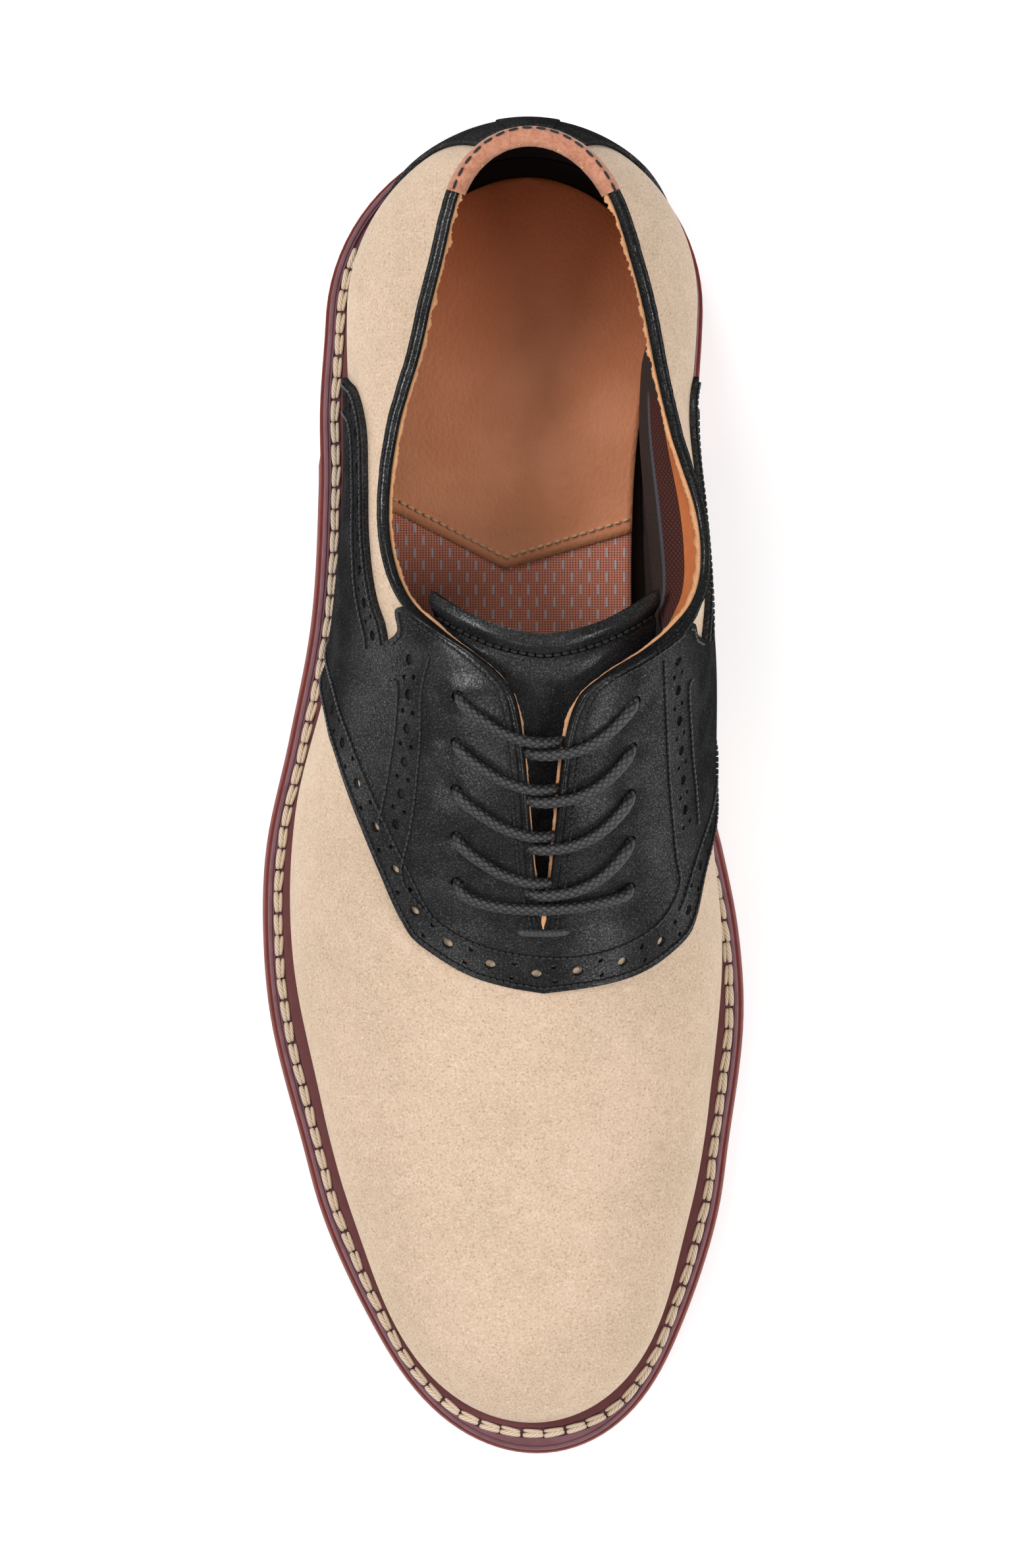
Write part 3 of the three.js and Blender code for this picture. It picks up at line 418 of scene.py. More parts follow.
class Finish:
    """A material made of one principled shader and the nodes that feed it."""

    def __init__(self, name):
        self.material = bpy.data.materials.new(name)
        self.material.use_nodes = True
        self.tree = self.material.node_tree
        self.shader = self.tree.nodes["Principled BSDF"]
        self.normal = None

    def node(self, kind, settings=None, inputs=None, output=0):
        made = self.tree.nodes.new(kind)
        for key, value in (settings or {}).items():
            setattr(made, key, value)
        for key, value in (inputs or {}).items():
            self.feed(made.inputs[key], value)
        return Value(self, made.outputs[output])
    def feed(self, socket, value):
        if isinstance(value, Value):
            self.tree.links.new(value.socket, socket)
        else:
            socket.default_value = value

    def place(self, scale=(1, 1, 1), turn=(0, 0, 0)):
        """Object coordinates, stretched by scale."""
        where = self.node("ShaderNodeTexCoord", output=3)
        return self.node("ShaderNodeMapping", {}, {"Vector": where, "Scale": scale, "Rotation": turn})

    def chart(self, scale=(1, 1, 1)):
        """The piece's own UV map, stretched by scale."""
        where = self.node("ShaderNodeTexCoord", output=2)
        return self.node("ShaderNodeMapping", {}, {"Vector": where, "Scale": scale})

    def mark(self, name):
        return self.node("ShaderNodeAttribute", {"attribute_name": name}, output=2)

    def axis(self, vector, which):
        return self.node("ShaderNodeSeparateXYZ", {}, {0: vector}, output=which)

    def grain(self, size, detail=3.0, roughness=0.55, vector=None, distortion=0.0):
        """Cloudy noise whose spots are about size across, from 0 to 1."""
        where = self.place() if vector is None else vector
        sockets = {"Vector": where, "Scale": 1 / size, "Detail": detail, "Roughness": roughness}
        return self.node("ShaderNodeTexNoise", {}, {**sockets, "Distortion": distortion})

    def cells(self, size, feature="F1", vector=None):
        where = self.place() if vector is None else vector
        return self.node("ShaderNodeTexVoronoi", {"feature": feature}, {"Vector": where, "Scale": 1 / size})

    def blend(self, a, b, share):
        """Colour a where share is 0 and colour b where it is 1."""
        return self.node("ShaderNodeMix", {"data_type": "RGBA"}, {0: share, 6: a, 7: b}, output=2)

    def raise_by(self, height, depth, strength=1.0):
        """Bump: height is a value about 0 to 1, depth its real depth."""
        sockets = {"Height": height, "Distance": depth, "Strength": strength}
        if self.normal is not None:
            sockets["Normal"] = self.normal
        self.normal = self.node("ShaderNodeBump", {}, sockets)

    def done(self, **sockets):
        for name, value in sockets.items():
            self.feed(self.shader.inputs[name.replace("_", " ")], value)
        if self.normal is not None:
            self.feed(self.shader.inputs["Normal"], self.normal)
        print("finish", self.material.name, "with", len(self.tree.nodes), "nodes")
        return self.material


def color(red, green, blue):
    """A colour as read from a screen, 0 to 255, for a shader."""
    linear = [((c / 255 + 0.055) / 1.055) ** 2.4 if c > 10 else c / 255 / 12.92 for c in (red, green, blue)]
    return (*linear, 1.0)


# %% [markdown]
# ## The leathers
# Nubuck is sanded on its grain side, so it is matt, with a fine nap and pale and dark clouds where the nap
# lies differently. The saddle is smooth waxed leather: a fine pebble with a soft gloss over it. Suede is the
# flesh side, with a longer nap. Each is a colour that wanders, a bump in two or three sizes and a roughness.
# The nubuck's lower wall and the black leather's grain also have light and shade painted into their colour.


# %% Cream nubuck
def make_nubuck():
    finish = Finish("cream_nubuck")
    cloud = finish.grain(22 * MM, 3)
    patch = finish.grain(3.5 * MM, 5, 0.65)
    speck = finish.grain(0.55 * MM, 4, 0.75)
    pores = finish.cells(0.9 * MM)
    # Painted shade: the lower wall, which turns away from the light, gets a darker, greener tone.
    low = 1 - finish.mark("rise").between(0.14, 0.46)
    tone = finish.blend(color(221, 194, 168), color(212, 187, 160), cloud.between(0.35, 0.7))
    tone = finish.blend(tone, color(210, 196, 160), low * 0.75)
    tone = finish.blend(tone, color(231, 206, 182), patch.between(0.5, 0.75) * 0.5)
    tone = finish.blend(tone, color(196, 166, 138), patch.between(0.5, 0.25) * 0.35)
    tone = finish.blend(tone, color(158, 126, 98), speck.between(0.52, 0.68) * 0.7)
    tone = finish.blend(tone, color(250, 226, 200), speck.between(0.47, 0.33) * 0.6)
    tone = finish.blend(tone, color(176, 144, 114), pores.between(0.0, 0.25, 1.0, 0.0) * 0.35)
    finish.raise_by(speck, 0.16 * MM, 0.8)
    finish.raise_by(patch, 0.3 * MM, 0.4)
    return finish.done(
        Base_Color=tone, Roughness=0.86 - patch * 0.08, Specular_IOR_Level=0.2,
        Sheen_Weight=0.12, Sheen_Roughness=0.5,
    )


# %% Black waxed leather
def make_black_leather(name="black_leather", shine=1.0, wax_roughness=0.3, body=1.0):
    finish = Finish(name)
    pebble = finish.cells(0.85 * MM, "SMOOTH_F1")
    grit = finish.grain(0.4 * MM, 4, 0.7)
    wrinkle = finish.grain(2.8 * MM, 4, 0.62, vector=finish.place((1, 1.6, 1)), distortion=1.2)
    cloud = finish.grain(9 * MM, 3)
    shade = lambda value: color(value * body, value * body, value * body + body)
    tone = finish.blend(shade(35), shade(50), cloud.between(0.35, 0.75))
    # Painted shade and highlight: the grit's pits are darker and its raised peaks lighter, as lit grain looks.
    tone = finish.blend(tone, shade(8), grit.between(0.48, 0.3) * 0.7)
    tone = finish.blend(tone, shade(112), grit.between(0.56, 0.72) * 0.7)
    finish.raise_by(pebble, 0.14 * MM, 0.9)
    finish.raise_by(grit, 0.12 * MM, 0.9)
    finish.raise_by(wrinkle, 0.5 * MM, 0.5)
    grazing = finish.node("ShaderNodeLayerWeight", {}, {"Blend": 0.5}, output=1).between(0.3, 0.72)
    wax = (1 - grazing) * (0.15 + grit.between(0.42, 0.66) * 0.85) * (0.75 + cloud * 0.5)
    return finish.done(
        Base_Color=tone, Roughness=0.42 + cloud * 0.1, Specular_IOR_Level=0.0,
        Coat_Weight=wax * shine, Coat_Roughness=wax_roughness,
    )


# %% Tan suede
def make_suede(name, base, pale):
    finish = Finish(name)
    nap = finish.grain(0.35 * MM, 4, 0.7)
    stroke = finish.grain(1.3 * MM, 4, 0.65, distortion=0.6)
    tone = finish.blend(base, pale, stroke.between(0.1, 0.95))
    tone = finish.blend(tone, (*[c * 0.45 for c in base[:3]], 1), nap.between(0.5, 0.8) * 0.5)
    finish.raise_by(nap, 0.14 * MM, 0.8)
    finish.raise_by(stroke, 0.2 * MM, 0.5)
    return finish.done(Base_Color=tone, Roughness=0.9, Specular_IOR_Level=0.2, Sheen_Weight=0.3)


# %% [markdown]
# ## The rubbers and the threads
# The welt is moulded rubber made to look like buffed leather: a plum ledge with a faint nap and a browner
# strip against the upper. The outsole is brick red. The welt thread is thick and twisted.


# %% Rubber
def make_rubber(name, base, dark, streaks):
    finish = Finish(name)
    cloud = finish.grain(4 * MM, 4, 0.6)
    grit = finish.grain(0.3 * MM, 3, 0.7)
    fine = finish.grain(0.22 * MM, 2, 0.5, vector=finish.place(scale=(1, 6, 1) if streaks else (1, 1, 1)))
    tone = finish.blend(base, dark, cloud.between(0.35, 0.75) * 0.6)
    tone = finish.blend(tone, (*[min(c * 1.7, 1) for c in base[:3]], 1), grit.between(0.55, 0.8) * 0.35)
    if streaks:
        by_the_upper = finish.axis(finish.chart(), 1).between(0.84, 0.87)
        tone = finish.blend(tone, color(104, 52, 52), by_the_upper * 0.8)
    finish.raise_by(grit, 0.05 * MM, 0.5)
    finish.raise_by(fine, 0.05 * MM, 0.4)
    return finish.done(Base_Color=tone, Roughness=0.58 + cloud * 0.14, Specular_IOR_Level=0.4)


# %% Thread
def make_thread(name, base, dark, turns, gloss, shine=0.5):
    finish = Finish(name)
    where = finish.chart()
    twist = (finish.axis(where, 0) * turns + finish.axis(where, 1) * 6).fraction()
    ply = (twist - 0.5).absolute() * 2
    fibre = finish.grain(0.16 * MM, 3, 0.7)
    # Painted shade: the valleys between the plies, where the bump is low, are darker.
    tone = finish.blend(base, dark, (1 - ply.between(0.0, 0.5)) * 0.7)
    tone = finish.blend(tone, dark, fibre.between(0.5, 0.85) * 0.45)
    finish.raise_by(ply, 0.12 * MM, 0.7)
    finish.raise_by(fibre, 0.08 * MM, 0.6)
    return finish.done(Base_Color=tone, Roughness=gloss, Specular_IOR_Level=shine, Sheen_Weight=0.1)


NUBUCK = make_nubuck()
BLACK = make_black_leather()
PIPING = make_black_leather("black_piping", 1.0, 0.2, 0.8)
# A very dark matt strip under each seam: painted shadow of the stitches' pressed track.
SEAM_SHADOW = make_black_leather("painted_seam_shadow", 0.0, 0.3, 0.2)
TAB_SUEDE = make_suede("tan_suede", color(170, 106, 80), color(228, 166, 136))
RAW_EDGE = make_suede("raw_edge", color(214, 146, 98), color(238, 186, 136))
SOLE_RED = make_rubber("brick_rubber", color(128, 50, 42), color(98, 36, 30), False)
PLUM = make_rubber("plum_rubber", color(120, 78, 86), color(92, 52, 56), True)
WELT_THREAD = make_thread("welt_thread", color(234, 214, 190), color(150, 108, 80), 5, 0.7)
BLACK_THREAD = make_thread("black_thread", color(38, 38, 40), color(4, 4, 5), 3, 0.35, 0.35)
TACK_THREAD = make_thread("tack_thread", color(58, 58, 60), color(12, 12, 13), 12, 0.35, 0.5)
PALE_THREAD = make_thread("pale_thread", color(246, 208, 160), color(170, 112, 70), 3, 0.6)

# %% [markdown]
# ## Laying a piece on the last
# Blender can lay cloth over a body by simulation or by shrink-wrapping. Here the wall is already a function, so
# a flat grid is enough: each crossing is moved to its place on the wall, the two halves of the shoe are
# welded where they meet, and Solidify gives the leather its thickness.


# %% Grids and pieces
def lay(bm, across, up, at, flip=False, marks=()):
    """Adds a flat grid and moves each crossing to at(a, b), with a and b from 0 to 1."""
    if not bm.loops.layers.uv:
        bm.loops.layers.uv.new("UVMap")
    layers = [bm.verts.layers.float.get(name) or bm.verts.layers.float.new(name) for name in marks]
    made = bmesh.ops.create_grid(bm, x_segments=across, y_segments=up, size=0.5, calc_uvs=True)["verts"]
    for vert in made:
        a, b = round((vert.co.x + 0.5) * across) / across, round((vert.co.y + 0.5) * up) / up
        vert.co, *values = at(a, b) if marks else (at(a, b),)
        for layer, value in zip(layers, values):
            vert[layer] = value
    if flip:
        bmesh.ops.reverse_faces(bm, faces=list({f for vert in made for f in vert.link_faces}))
    return made
def lay_both(across, up, at, flip=True, marks=()):
    """Both halves of a piece in one bmesh, each as at(side, a, b)."""
    bm = bmesh.new()
    for side in SIDES:
        lay(bm, across, up, lambda a, b: at(side, a, b), flip and side > 0, marks)
    return bm


def pick(items, share):
    """The item nearest to a share of the way through a list."""
    return items[round(share * (len(items) - 1))]


def lay_along(bm, turns, rows, at):
    """The rows of a profile swept along the turns, each crossing as at(turn, row)."""
    lay(bm, len(turns) - 1, len(rows) - 1, lambda a, b: at(pick(turns, a), pick(rows, b)))


def bare_object(name, bm):
    mesh = bpy.data.meshes.new(name)
    bm.to_mesh(mesh)
    bm.free()
    made = bpy.data.objects.new(name, mesh)
    scene.collection.objects.link(made)
    return made


def piece(name, bm, material, stands_for=(), closed=False, sharp=None, merge=0.004 * MM):
    """Turns a bmesh into a named piece of the shoe."""
    bmesh.ops.remove_doubles(bm, verts=bm.verts, dist=merge)
    if closed:
        bmesh.ops.recalc_face_normals(bm, faces=bm.faces)
    made = bare_object(name, bm)
    mesh = made.data
    mesh.materials.append(material)
    mesh.shade_smooth()
    if sharp:
        mesh.set_sharp_from_angle(angle=math.radians(sharp))
    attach(made, "root")
    if stands_for:
        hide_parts(*stands_for)
    print(name, "has", len(mesh.polygons), "faces")
    return made


def thicken(made, thickness, offset=-1):
    """Gives a sheet its thickness, inwards unless offset is 1."""
    wall = made.modifiers.new("thickness", "SOLIDIFY")
    wall.thickness, wall.offset, wall.use_even_offset = thickness, offset, True
    return made


def round_rim(made, width=0.35 * MM):
    """Rounds the cut edge of a thick sheet."""
    rim = made.modifiers.new("rim", "BEVEL")
    rim.width, rim.segments, rim.limit_method, rim.angle_limit = width, 2, "ANGLE", math.radians(50)
    return made


def settle(made, sharp=None):
    """Applies a piece's modifiers."""
    graph = bpy.context.evaluated_depsgraph_get()
    mesh = bpy.data.meshes.new_from_object(made.evaluated_get(graph), depsgraph=graph)
    made.modifiers.clear()
    made.data = mesh
    if sharp:
        mesh.shade_smooth()
        mesh.set_sharp_from_angle(angle=math.radians(sharp))
    return made


# %% [markdown]
# ## Creases
# New leather still moves: the quarter dips between the heel and the collar, the vamp has a faint break behind
# the toe box, and the saddle swells beside the laces. Each is a soft trough or ridge, listed as a
# share of the length and of the way up the wall, and every piece on the last rises and falls with it.

# %% Soft troughs and ridges
FOLDS = table(
    "side at rise reach width turn height",
    (-1, 0.14, 0.62, 0.05, 0.05, 20, -0.5), (-1, 0.2, 0.72, 0.06, 0.035, -15, 0.45),
    (-1, 0.27, 0.66, 0.07, 0.04, 10, -0.4), (1, 0.17, 0.66, 0.06, 0.05, 0, -0.4),
    (-1, 0.44, 0.86, 0.03, 0.025, 60, 0.5), (-1, 0.47, 0.93, 0.03, 0.02, 75, -0.35),
    (1, 0.45, 0.86, 0.03, 0.03, 110, 0.45), (1, 0.5, 0.92, 0.03, 0.02, 90, -0.35),
    (-1, 0.56, 0.86, 0.035, 0.03, 120, -0.35), (1, 0.57, 0.86, 0.035, 0.03, 60, -0.35),
    (-1, 0.7, 0.8, 0.08, 0.02, 95, -0.25), (1, 0.71, 0.8, 0.08, 0.02, 85, -0.25),
    (-1, 0.66, 0.7, 0.07, 0.02, 100, 0.2), (1, 0.74, 0.74, 0.07, 0.02, 80, 0.2),
)


EYELET_ROWS, EYELET_PITCH, EYELET_OFFSET = 5, 10.6 * MM, 18.5 * MM
EYELET_DEPTH = 16 * MM  # down the wall from the edge of the throat
FIRST_EYELET = 0.433
EYELET_STAGGER = 0.7 * MM
DIMPLE = 2.6 * MM


def eyelet_share(side, row):
    return FIRST_EYELET + (row * EYELET_PITCH + side * EYELET_STAGGER) / LENGTH


def crease(side, turn, rise):
    """How far the leather lies off the plain wall."""
    share, total = share_at(turn), 0.0
    for fold in FOLDS:
        if fold["side"] != side:
            continue
        angle = math.radians(fold["turn"])
        along, up = share - fold["at"], (rise - fold["rise"]) * 0.3
        main = (along * math.cos(angle) + up * math.sin(angle)) / fold["reach"]
        cross = (up * math.cos(angle) - along * math.sin(angle)) / fold["width"]
        total += fold["height"] * math.exp(-main * main - cross * cross)
    for row in range(EYELET_ROWS):
        along = (share - eyelet_share(side, row)) * LENGTH
        if abs(along) < 2 * DIMPLE:
            across = depth_at(side, turn, rise) - EYELET_DEPTH
            total -= 0.55 * math.exp(-(along * along + across * across) / (DIMPLE * DIMPLE))
    return total * MM * smooth(1 - rise, 0, 0.06) * smooth(rise, 0.05, 0.3)


def on_upper(side, turn, rise, lift):
    return off_face(side, turn, rise, lift + crease(side, turn, rise))


print(len(FOLDS), "folds")

# %% [markdown]
# ## The upper and its lining
# The body of the shoe is one hollow wall of nubuck, open at the collar and the throat. Inside it a lining
# shows through the collar: a smooth tan band along the top, a brown knit below it and a darker brown at the
# foot.

# %% Build the upper
UPPER_ACROSS, UPPER_UP = 150, 44
LEATHER = 1.1 * MM


def build_upper():
    bm = lay_both(UPPER_ACROSS, UPPER_UP, lambda side, a, b: (on_upper(side, a, b, 0), b), marks=["rise"])
    return thicken(piece("upper_nubuck", bm, NUBUCK, ["upper"]), LEATHER)


upper = build_upper()


# %% Lining
STRIP_DEPTH, KNIT_DEPTH = 6.3 * MM, 13.5 * MM
STRIP_START, KNIT_START = 0.13, 0.2


def make_lining():
    finish = Finish("lining")
    depth, along = finish.mark("depth"), finish.mark("along")
    nap = finish.grain(0.3 * MM, 3, 0.65)
    cloud = finish.grain(3 * MM, 3)
    tan = finish.blend(color(222, 132, 76), color(196, 104, 56), cloud)
    across = finish.axis(finish.place(), 1) / (1.2 * MM)
    rib, row = ((across + depth / (way * 1.4 * MM)).fraction() for way in (1, -1))
    loop = ((rib - 0.5).absolute() * 2).least((row - 0.5).absolute() * 2)
    knit = finish.blend(color(46, 18, 13), color(98, 44, 33), loop.between(0.1, 0.6))
    dark = finish.blend(color(60, 44, 38), color(42, 30, 26), nap)
    edge = finish.blend(color(92, 94, 104), color(68, 70, 80), nap)
    forward = along.between(KNIT_START, KNIT_START + 0.01)
    below_band = depth.between(STRIP_DEPTH - 0.15 * MM, STRIP_DEPTH + 0.15 * MM)
    past = depth - KNIT_DEPTH
    inner = finish.blend(dark, knit, forward * (1 - past.between(-0.1 * MM, 0.1 * MM)))
    inner = finish.blend(inner, edge, forward * (1 - past.absolute().between(0.5 * MM, 0.7 * MM)))
    tone = finish.blend(tan, inner, below_band)
    finish.raise_by(nap, 0.06 * MM, 0.5)
    finish.raise_by(loop * forward * below_band, 0.3 * MM, 0.6)
    finish.raise_by(1 - below_band, 0.6 * MM, 0.8)
    return finish.done(Base_Color=tone, Roughness=0.68 + below_band * 0.15)


LINING = make_lining()
LINING_END = 0.72
INNER_PAD = table(
    "depth reach", (0, 0), (2, 0.6), (6.3, 2.8), (13.5, 7.2), (20, 9.6), (28, 9.2), (45, 4), (60, 2)
)


def padded_lift(side, turn, depth):
    """The lining of the inner side is padded, so that it shows from above."""
    share = share_at(turn)
    window = smooth(share, STRIP_START - 0.04, STRIP_START + 0.06) * (1 - smooth(share, 0.37, 0.42))
    return -column(INNER_PAD, "depth", depth / MM, "reach") * MM * window if side > 0 else 0.0
def build_lining():
    low = rise_at_height(1, 0.3, 2 * MM)

    def at(side, a, b):
        turn, rise = a * LINING_END, mix(low, 0.999, b)
        marks = depth_at(side, turn, rise), share_at(turn)
        lift = -LEATHER - 0.05 * MM + padded_lift(side, turn, marks[0])
        return off_face(side, turn, rise, lift), *marks

    bm = lay_both(110, 50, at, marks=("depth", "along"))
    thicken(piece("lining", bm, LINING), WALL - LEATHER - 0.1 * MM)


build_lining()

# %% [markdown]
# ## The sole
# The outsole is moulded in one with its heel, with a fine groove under its top edge. The welt lies on it and
# carries a channel for the stitches. Both are one profile swept round the shoe: bmesh lays a grid whose
# rows are the corners of the profile, and the ends of the sweep are welded.

# %% Build the outsole
ROUND_TURNS = 110
EVEN_TURNS = [i / ROUND_TURNS for i in range(ROUND_TURNS + 1)]
SOLE_BEVEL = 1.2 * MM
GROOVE_DROP, GROOVE_WIDTH, GROOVE_DEPTH = 1.5 * MM, 0.8 * MM, 0.9 * MM
EASE = 0.15 * MM  # bevel of the small corners


def round_the_shoe(turns):
    """Stations from the back along the outer side to the toe and back along the inner side."""
    return [(-1, t) for t in turns] + [(1, t) for t in reversed(turns[:-1])]


def sweep(bm, stations, profile):
    """A profile, a list of functions of a station, swept along the stations."""
    lay_along(bm, stations, profile, lambda station, point: point(*station))


def sole_point(offset, above_low=0.0, below_top=0.0, up=1.0):
    """Point beside the sole's outline, a share up between its lower and its upper level."""

    def at(side, turn):
        x, along = outline(side, turn, offset)
        return place(x, along, mix(sole_bottom(along) + above_low, sole_top(along) - below_top, up))

    return at


def build_outsole():
    bm = bmesh.new()
    breast = [turn_at((HEEL_LENGTH + half * BREAST_SLOPE) / LENGTH) for half in (-0.5, 0.5)]
    turns = sorted([t for t in EVEN_TURNS if min(abs(t - b) for b in breast) > 0.002] + breast)
    groove_floor, groove_end = -WELT_INSET - GROOVE_DEPTH, GROOVE_DROP + GROOVE_WIDTH
    flare = -WELT_INSET / 2
    profile = [
        sole_point(offset, above_low, below_top, up)
        for offset, above_low, below_top, up in (
            (-SOLE_BEVEL, 0, 0, 0), (-SOLE_BEVEL * 0.3, SOLE_BEVEL * 0.25, 0, 0), (0, SOLE_BEVEL, 0, 0),
            (flare * 0.35, SOLE_BEVEL, groove_end, 0.4), (flare * 0.7, SOLE_BEVEL, groove_end, 0.8),
            (flare, 0, groove_end + EASE, 1), (flare - EASE, 0, groove_end, 1),
            (groove_floor, 0, groove_end, 1),
            (groove_floor, 0, GROOVE_DROP, 1), (-WELT_INSET - 0.1 * MM, 0, GROOVE_DROP, 1),
            (-WELT_INSET, 0, GROOVE_DROP - EASE, 1), (-WELT_INSET, 0, EASE, 1), (-WELT_INSET - EASE, 0, 0, 1),
        )
    ]
    sweep(bm, round_the_shoe(turns), profile)
    for edge, flip in ((profile[0], False), (profile[-1], True)):
        cap = lambda a, b: edge(-1, pick(turns, a)).lerp(edge(1, pick(turns, a)), b)
        lay(bm, len(turns) - 1, 10, cap, flip)
    piece("outsole_rubber", bm, SOLE_RED, ["outsole"], closed=True, sharp=35)


build_outsole()

# %% Build the welt
WELT_BEVEL = 0.6 * MM
WELT_EDGE = WELT_INSET + 0.35 * MM  # the outsole shows beyond it as a flare
CHANNEL_DEPTH, CHANNEL_HALF = 0.6 * MM, 1.2 * MM


def channel_inset(turn):
    """How far the row of stitches lies inside the edge. The ledge is wider in front of the toe."""
    return mix(2.0, 3.3, smooth(turn, 0.88, 1)) * MM


def welt_ring(inset, drop, from_channel=True):
    """Point on the top of the welt, inset from its row of stitches or else from its edge."""

    def at(side, turn):
        inner = off_face(side, turn, rise_at_height(side, turn, WELT_HEIGHT), GAP * 0.5)
        x, along = outline(side, turn, -WELT_EDGE - WELT_BEVEL)
        edge = place(x, along, sole_top(along) + GAP + WELT_HEIGHT)
        away = inset + (channel_inset(turn) if from_channel else 0)
        point = edge.lerp(inner, min(away / (edge - inner).length, 1))
        point.z -= drop
        return point

    return at


def build_welt():
    bm = bmesh.new()
    edge = lambda offset, height: sole_point(offset, below_top=-GAP * 0.3 - height)
    foot = lambda side, turn: off_face(side, turn, rise_at_height(side, turn, 0.1 * MM), GAP * 0.5)
    rim = lambda inset, drop: welt_ring(inset * MM, drop * MM, False)
    side_of = [
        foot, edge(-WELT_EDGE, 0), edge(-WELT_EDGE + 0.2 * MM, 0.5 * MM), edge(-WELT_EDGE, 1.2 * MM),
        edge(-WELT_EDGE - 0.1 * MM, 1.5 * MM), edge(-WELT_EDGE, 1.8 * MM),
        edge(-WELT_EDGE + 0.1 * MM, WELT_HEIGHT - 1.1 * MM),
        edge(-WELT_EDGE - 0.2 * MM, WELT_HEIGHT - 0.3 * MM),
    ]
    ledge = [rim(0, 0), rim(0.2, -0.02), rim(0.28, 0.25), rim(0.42, 0.25), rim(0.55, 0)]
    channel = [
        welt_ring(-CHANNEL_HALF, -0.05 * MM), welt_ring(-CHANNEL_HALF * 0.8, CHANNEL_DEPTH),
        welt_ring(0, CHANNEL_DEPTH * 1.1), welt_ring(CHANNEL_HALF * 0.8, CHANNEL_DEPTH),
        welt_ring(CHANNEL_HALF, -0.05 * MM),
    ]
    sweep(bm, round_the_shoe(EVEN_TURNS), side_of + ledge + channel + [welt_ring(1, 0), foot])
    piece("welt_rubber", bm, PLUM, ["welt"], closed=True, sharp=50)


build_welt()

# %% [markdown]
# ## The saddle and the counter
# The saddle is a wing along each quarter and two facings joined over the vamp. Its outline is a pair of
# short tables: how far up the wall the wing reaches, and where the front edge starts. The holes are cut
# through real leather thickness with a Boolean, because a dark dot has no shaded wall.

# %% Outline of the saddle
SADDLE_WING = table(
    "at out in",
    (0.192, 0.35, 0.34), (0.2, 0.58, 0.47), (0.222, 0.74, 0.55), (0.26, 0.81, 0.58), (0.3, 0.84, 0.6),
    (0.343, 0.83, 0.62), (0.375, 0.785, 0.6), (0.392, 0.745, 0.575),
)
SADDLE_FRONT = table(
    "at out in",
    (0.4, 0.05, 0.02), (0.438, 0.4, 0.07), (0.47, 0.53, 0.15), (0.497, 0.6, 0.24), (0.53, 0.66, 0.36),
    (0.567, 0.71, 0.5), (0.613, 0.76, 0.59), (0.632, 0.82, 0.68), (0.645, 0.88, 0.77), (0.652, 0.94, 0.87),
    (0.656, 1, 1),
)
SADDLE_REAR = table(
    "up back", (0, 0), (0.16, 0.12), (0.36, 0.34), (0.5, 0.64), (0.64, 0.88), (0.8, 1.0), (1, 1)
)
KEY = {-1: "out", 1: "in"}
WING_START, NOTCH, FRONT = SADDLE_WING[0]["at"], SADDLE_WING[-1]["at"], SADDLE_FRONT[-1]["at"]
OVERLAY_LIFT = 0.1 * MM


def saddle_low(side, share):
    edge = column(SADDLE_FRONT, "at", share, KEY[side]) if share > SADDLE_FRONT[0]["at"] else 0
    return min(1, max(rise_above_welt(side, turn_at(share)), edge))


def rear_share(side, above):
    """Where the rear edge runs, from the notch at 0 up to the collar at 1."""
    return mix(NOTCH, COLLAR_END[side], column(SADDLE_REAR, "up", above, "back"))


def lay_saddle(bm, side):
    """The wing and the facing of one side."""

    def wing(a, b):
        share = mix(WING_START, NOTCH, a)
        high = column(SADDLE_WING, "at", share, KEY[side])
        return on_upper(side, turn_at(share), mix(saddle_low(side, share), high, b), OVERLAY_LIFT)

    columns, front_columns, low_rows, high_rows = 84, 28, 34, 30
    lay(bm, 56, low_rows, wing, flip=side > 0)

    def facing(a, b):
        step, row = a * (columns + front_columns), b * (low_rows + high_rows)

        def from_(start):
            if step <= columns:
                return mix(start, THROAT_END, step / columns)
            u = (step - columns) / front_columns
            return mix(THROAT_END, FRONT, 1 - (1 - u) ** 2)

        base = from_(NOTCH)
        bottom = saddle_low(side, base)
        middle = max(bottom, SADDLE_WING[-1][KEY[side]])
        if row <= low_rows:
            return on_upper(side, turn_at(base), mix(bottom, middle, row / low_rows), OVERLAY_LIFT)
        above = (row - low_rows) / high_rows
        share = from_(rear_share(side, above))
        return on_upper(side, turn_at(share), mix(middle, 1, above), OVERLAY_LIFT)

    lay(bm, columns + front_columns, low_rows + high_rows, facing, flip=side > 0)


def panel(name, bm, thickness=OVERLAY, stands_for=()):
    """A black panel on top of the upper, with rounded edges."""
    made = piece(name, bm, BLACK, stands_for)
    return settle(round_rim(thicken(made, thickness, 1)))


def build_saddle():
    bm = bmesh.new()
    for side in SIDES:
        lay_saddle(bm, side)
    return panel("saddle_leather", bm, stands_for=["saddle"])


saddle = build_saddle()

# %% Build the counter
COUNTER_EDGE = table(
    "height turn", (0.1, 0.15), (0.2, 0.11), (0.35, 0.078), (0.5, 0.066), (0.7, 0.057), (1, 0.05)
)


def build_counter():
    def at(side, a, b):
        turn = lambda height: a * column(COUNTER_EDGE, "height", height, "turn")
        low, high = rise_above_welt(side, turn(0)), rise_at_depth(side, turn(1), 1.6 * MM)
        rise = mix(low, high, b)
        return on_upper(side, turn(rise), rise, OVERLAY_LIFT)

    panel("counter_leather", lay_both(20, 40, at), stands_for=["counter"])


build_counter()

# %% Strip over the back seam
STRIP_TURN, STRIP_THICKNESS = 0.021, 0.4 * MM


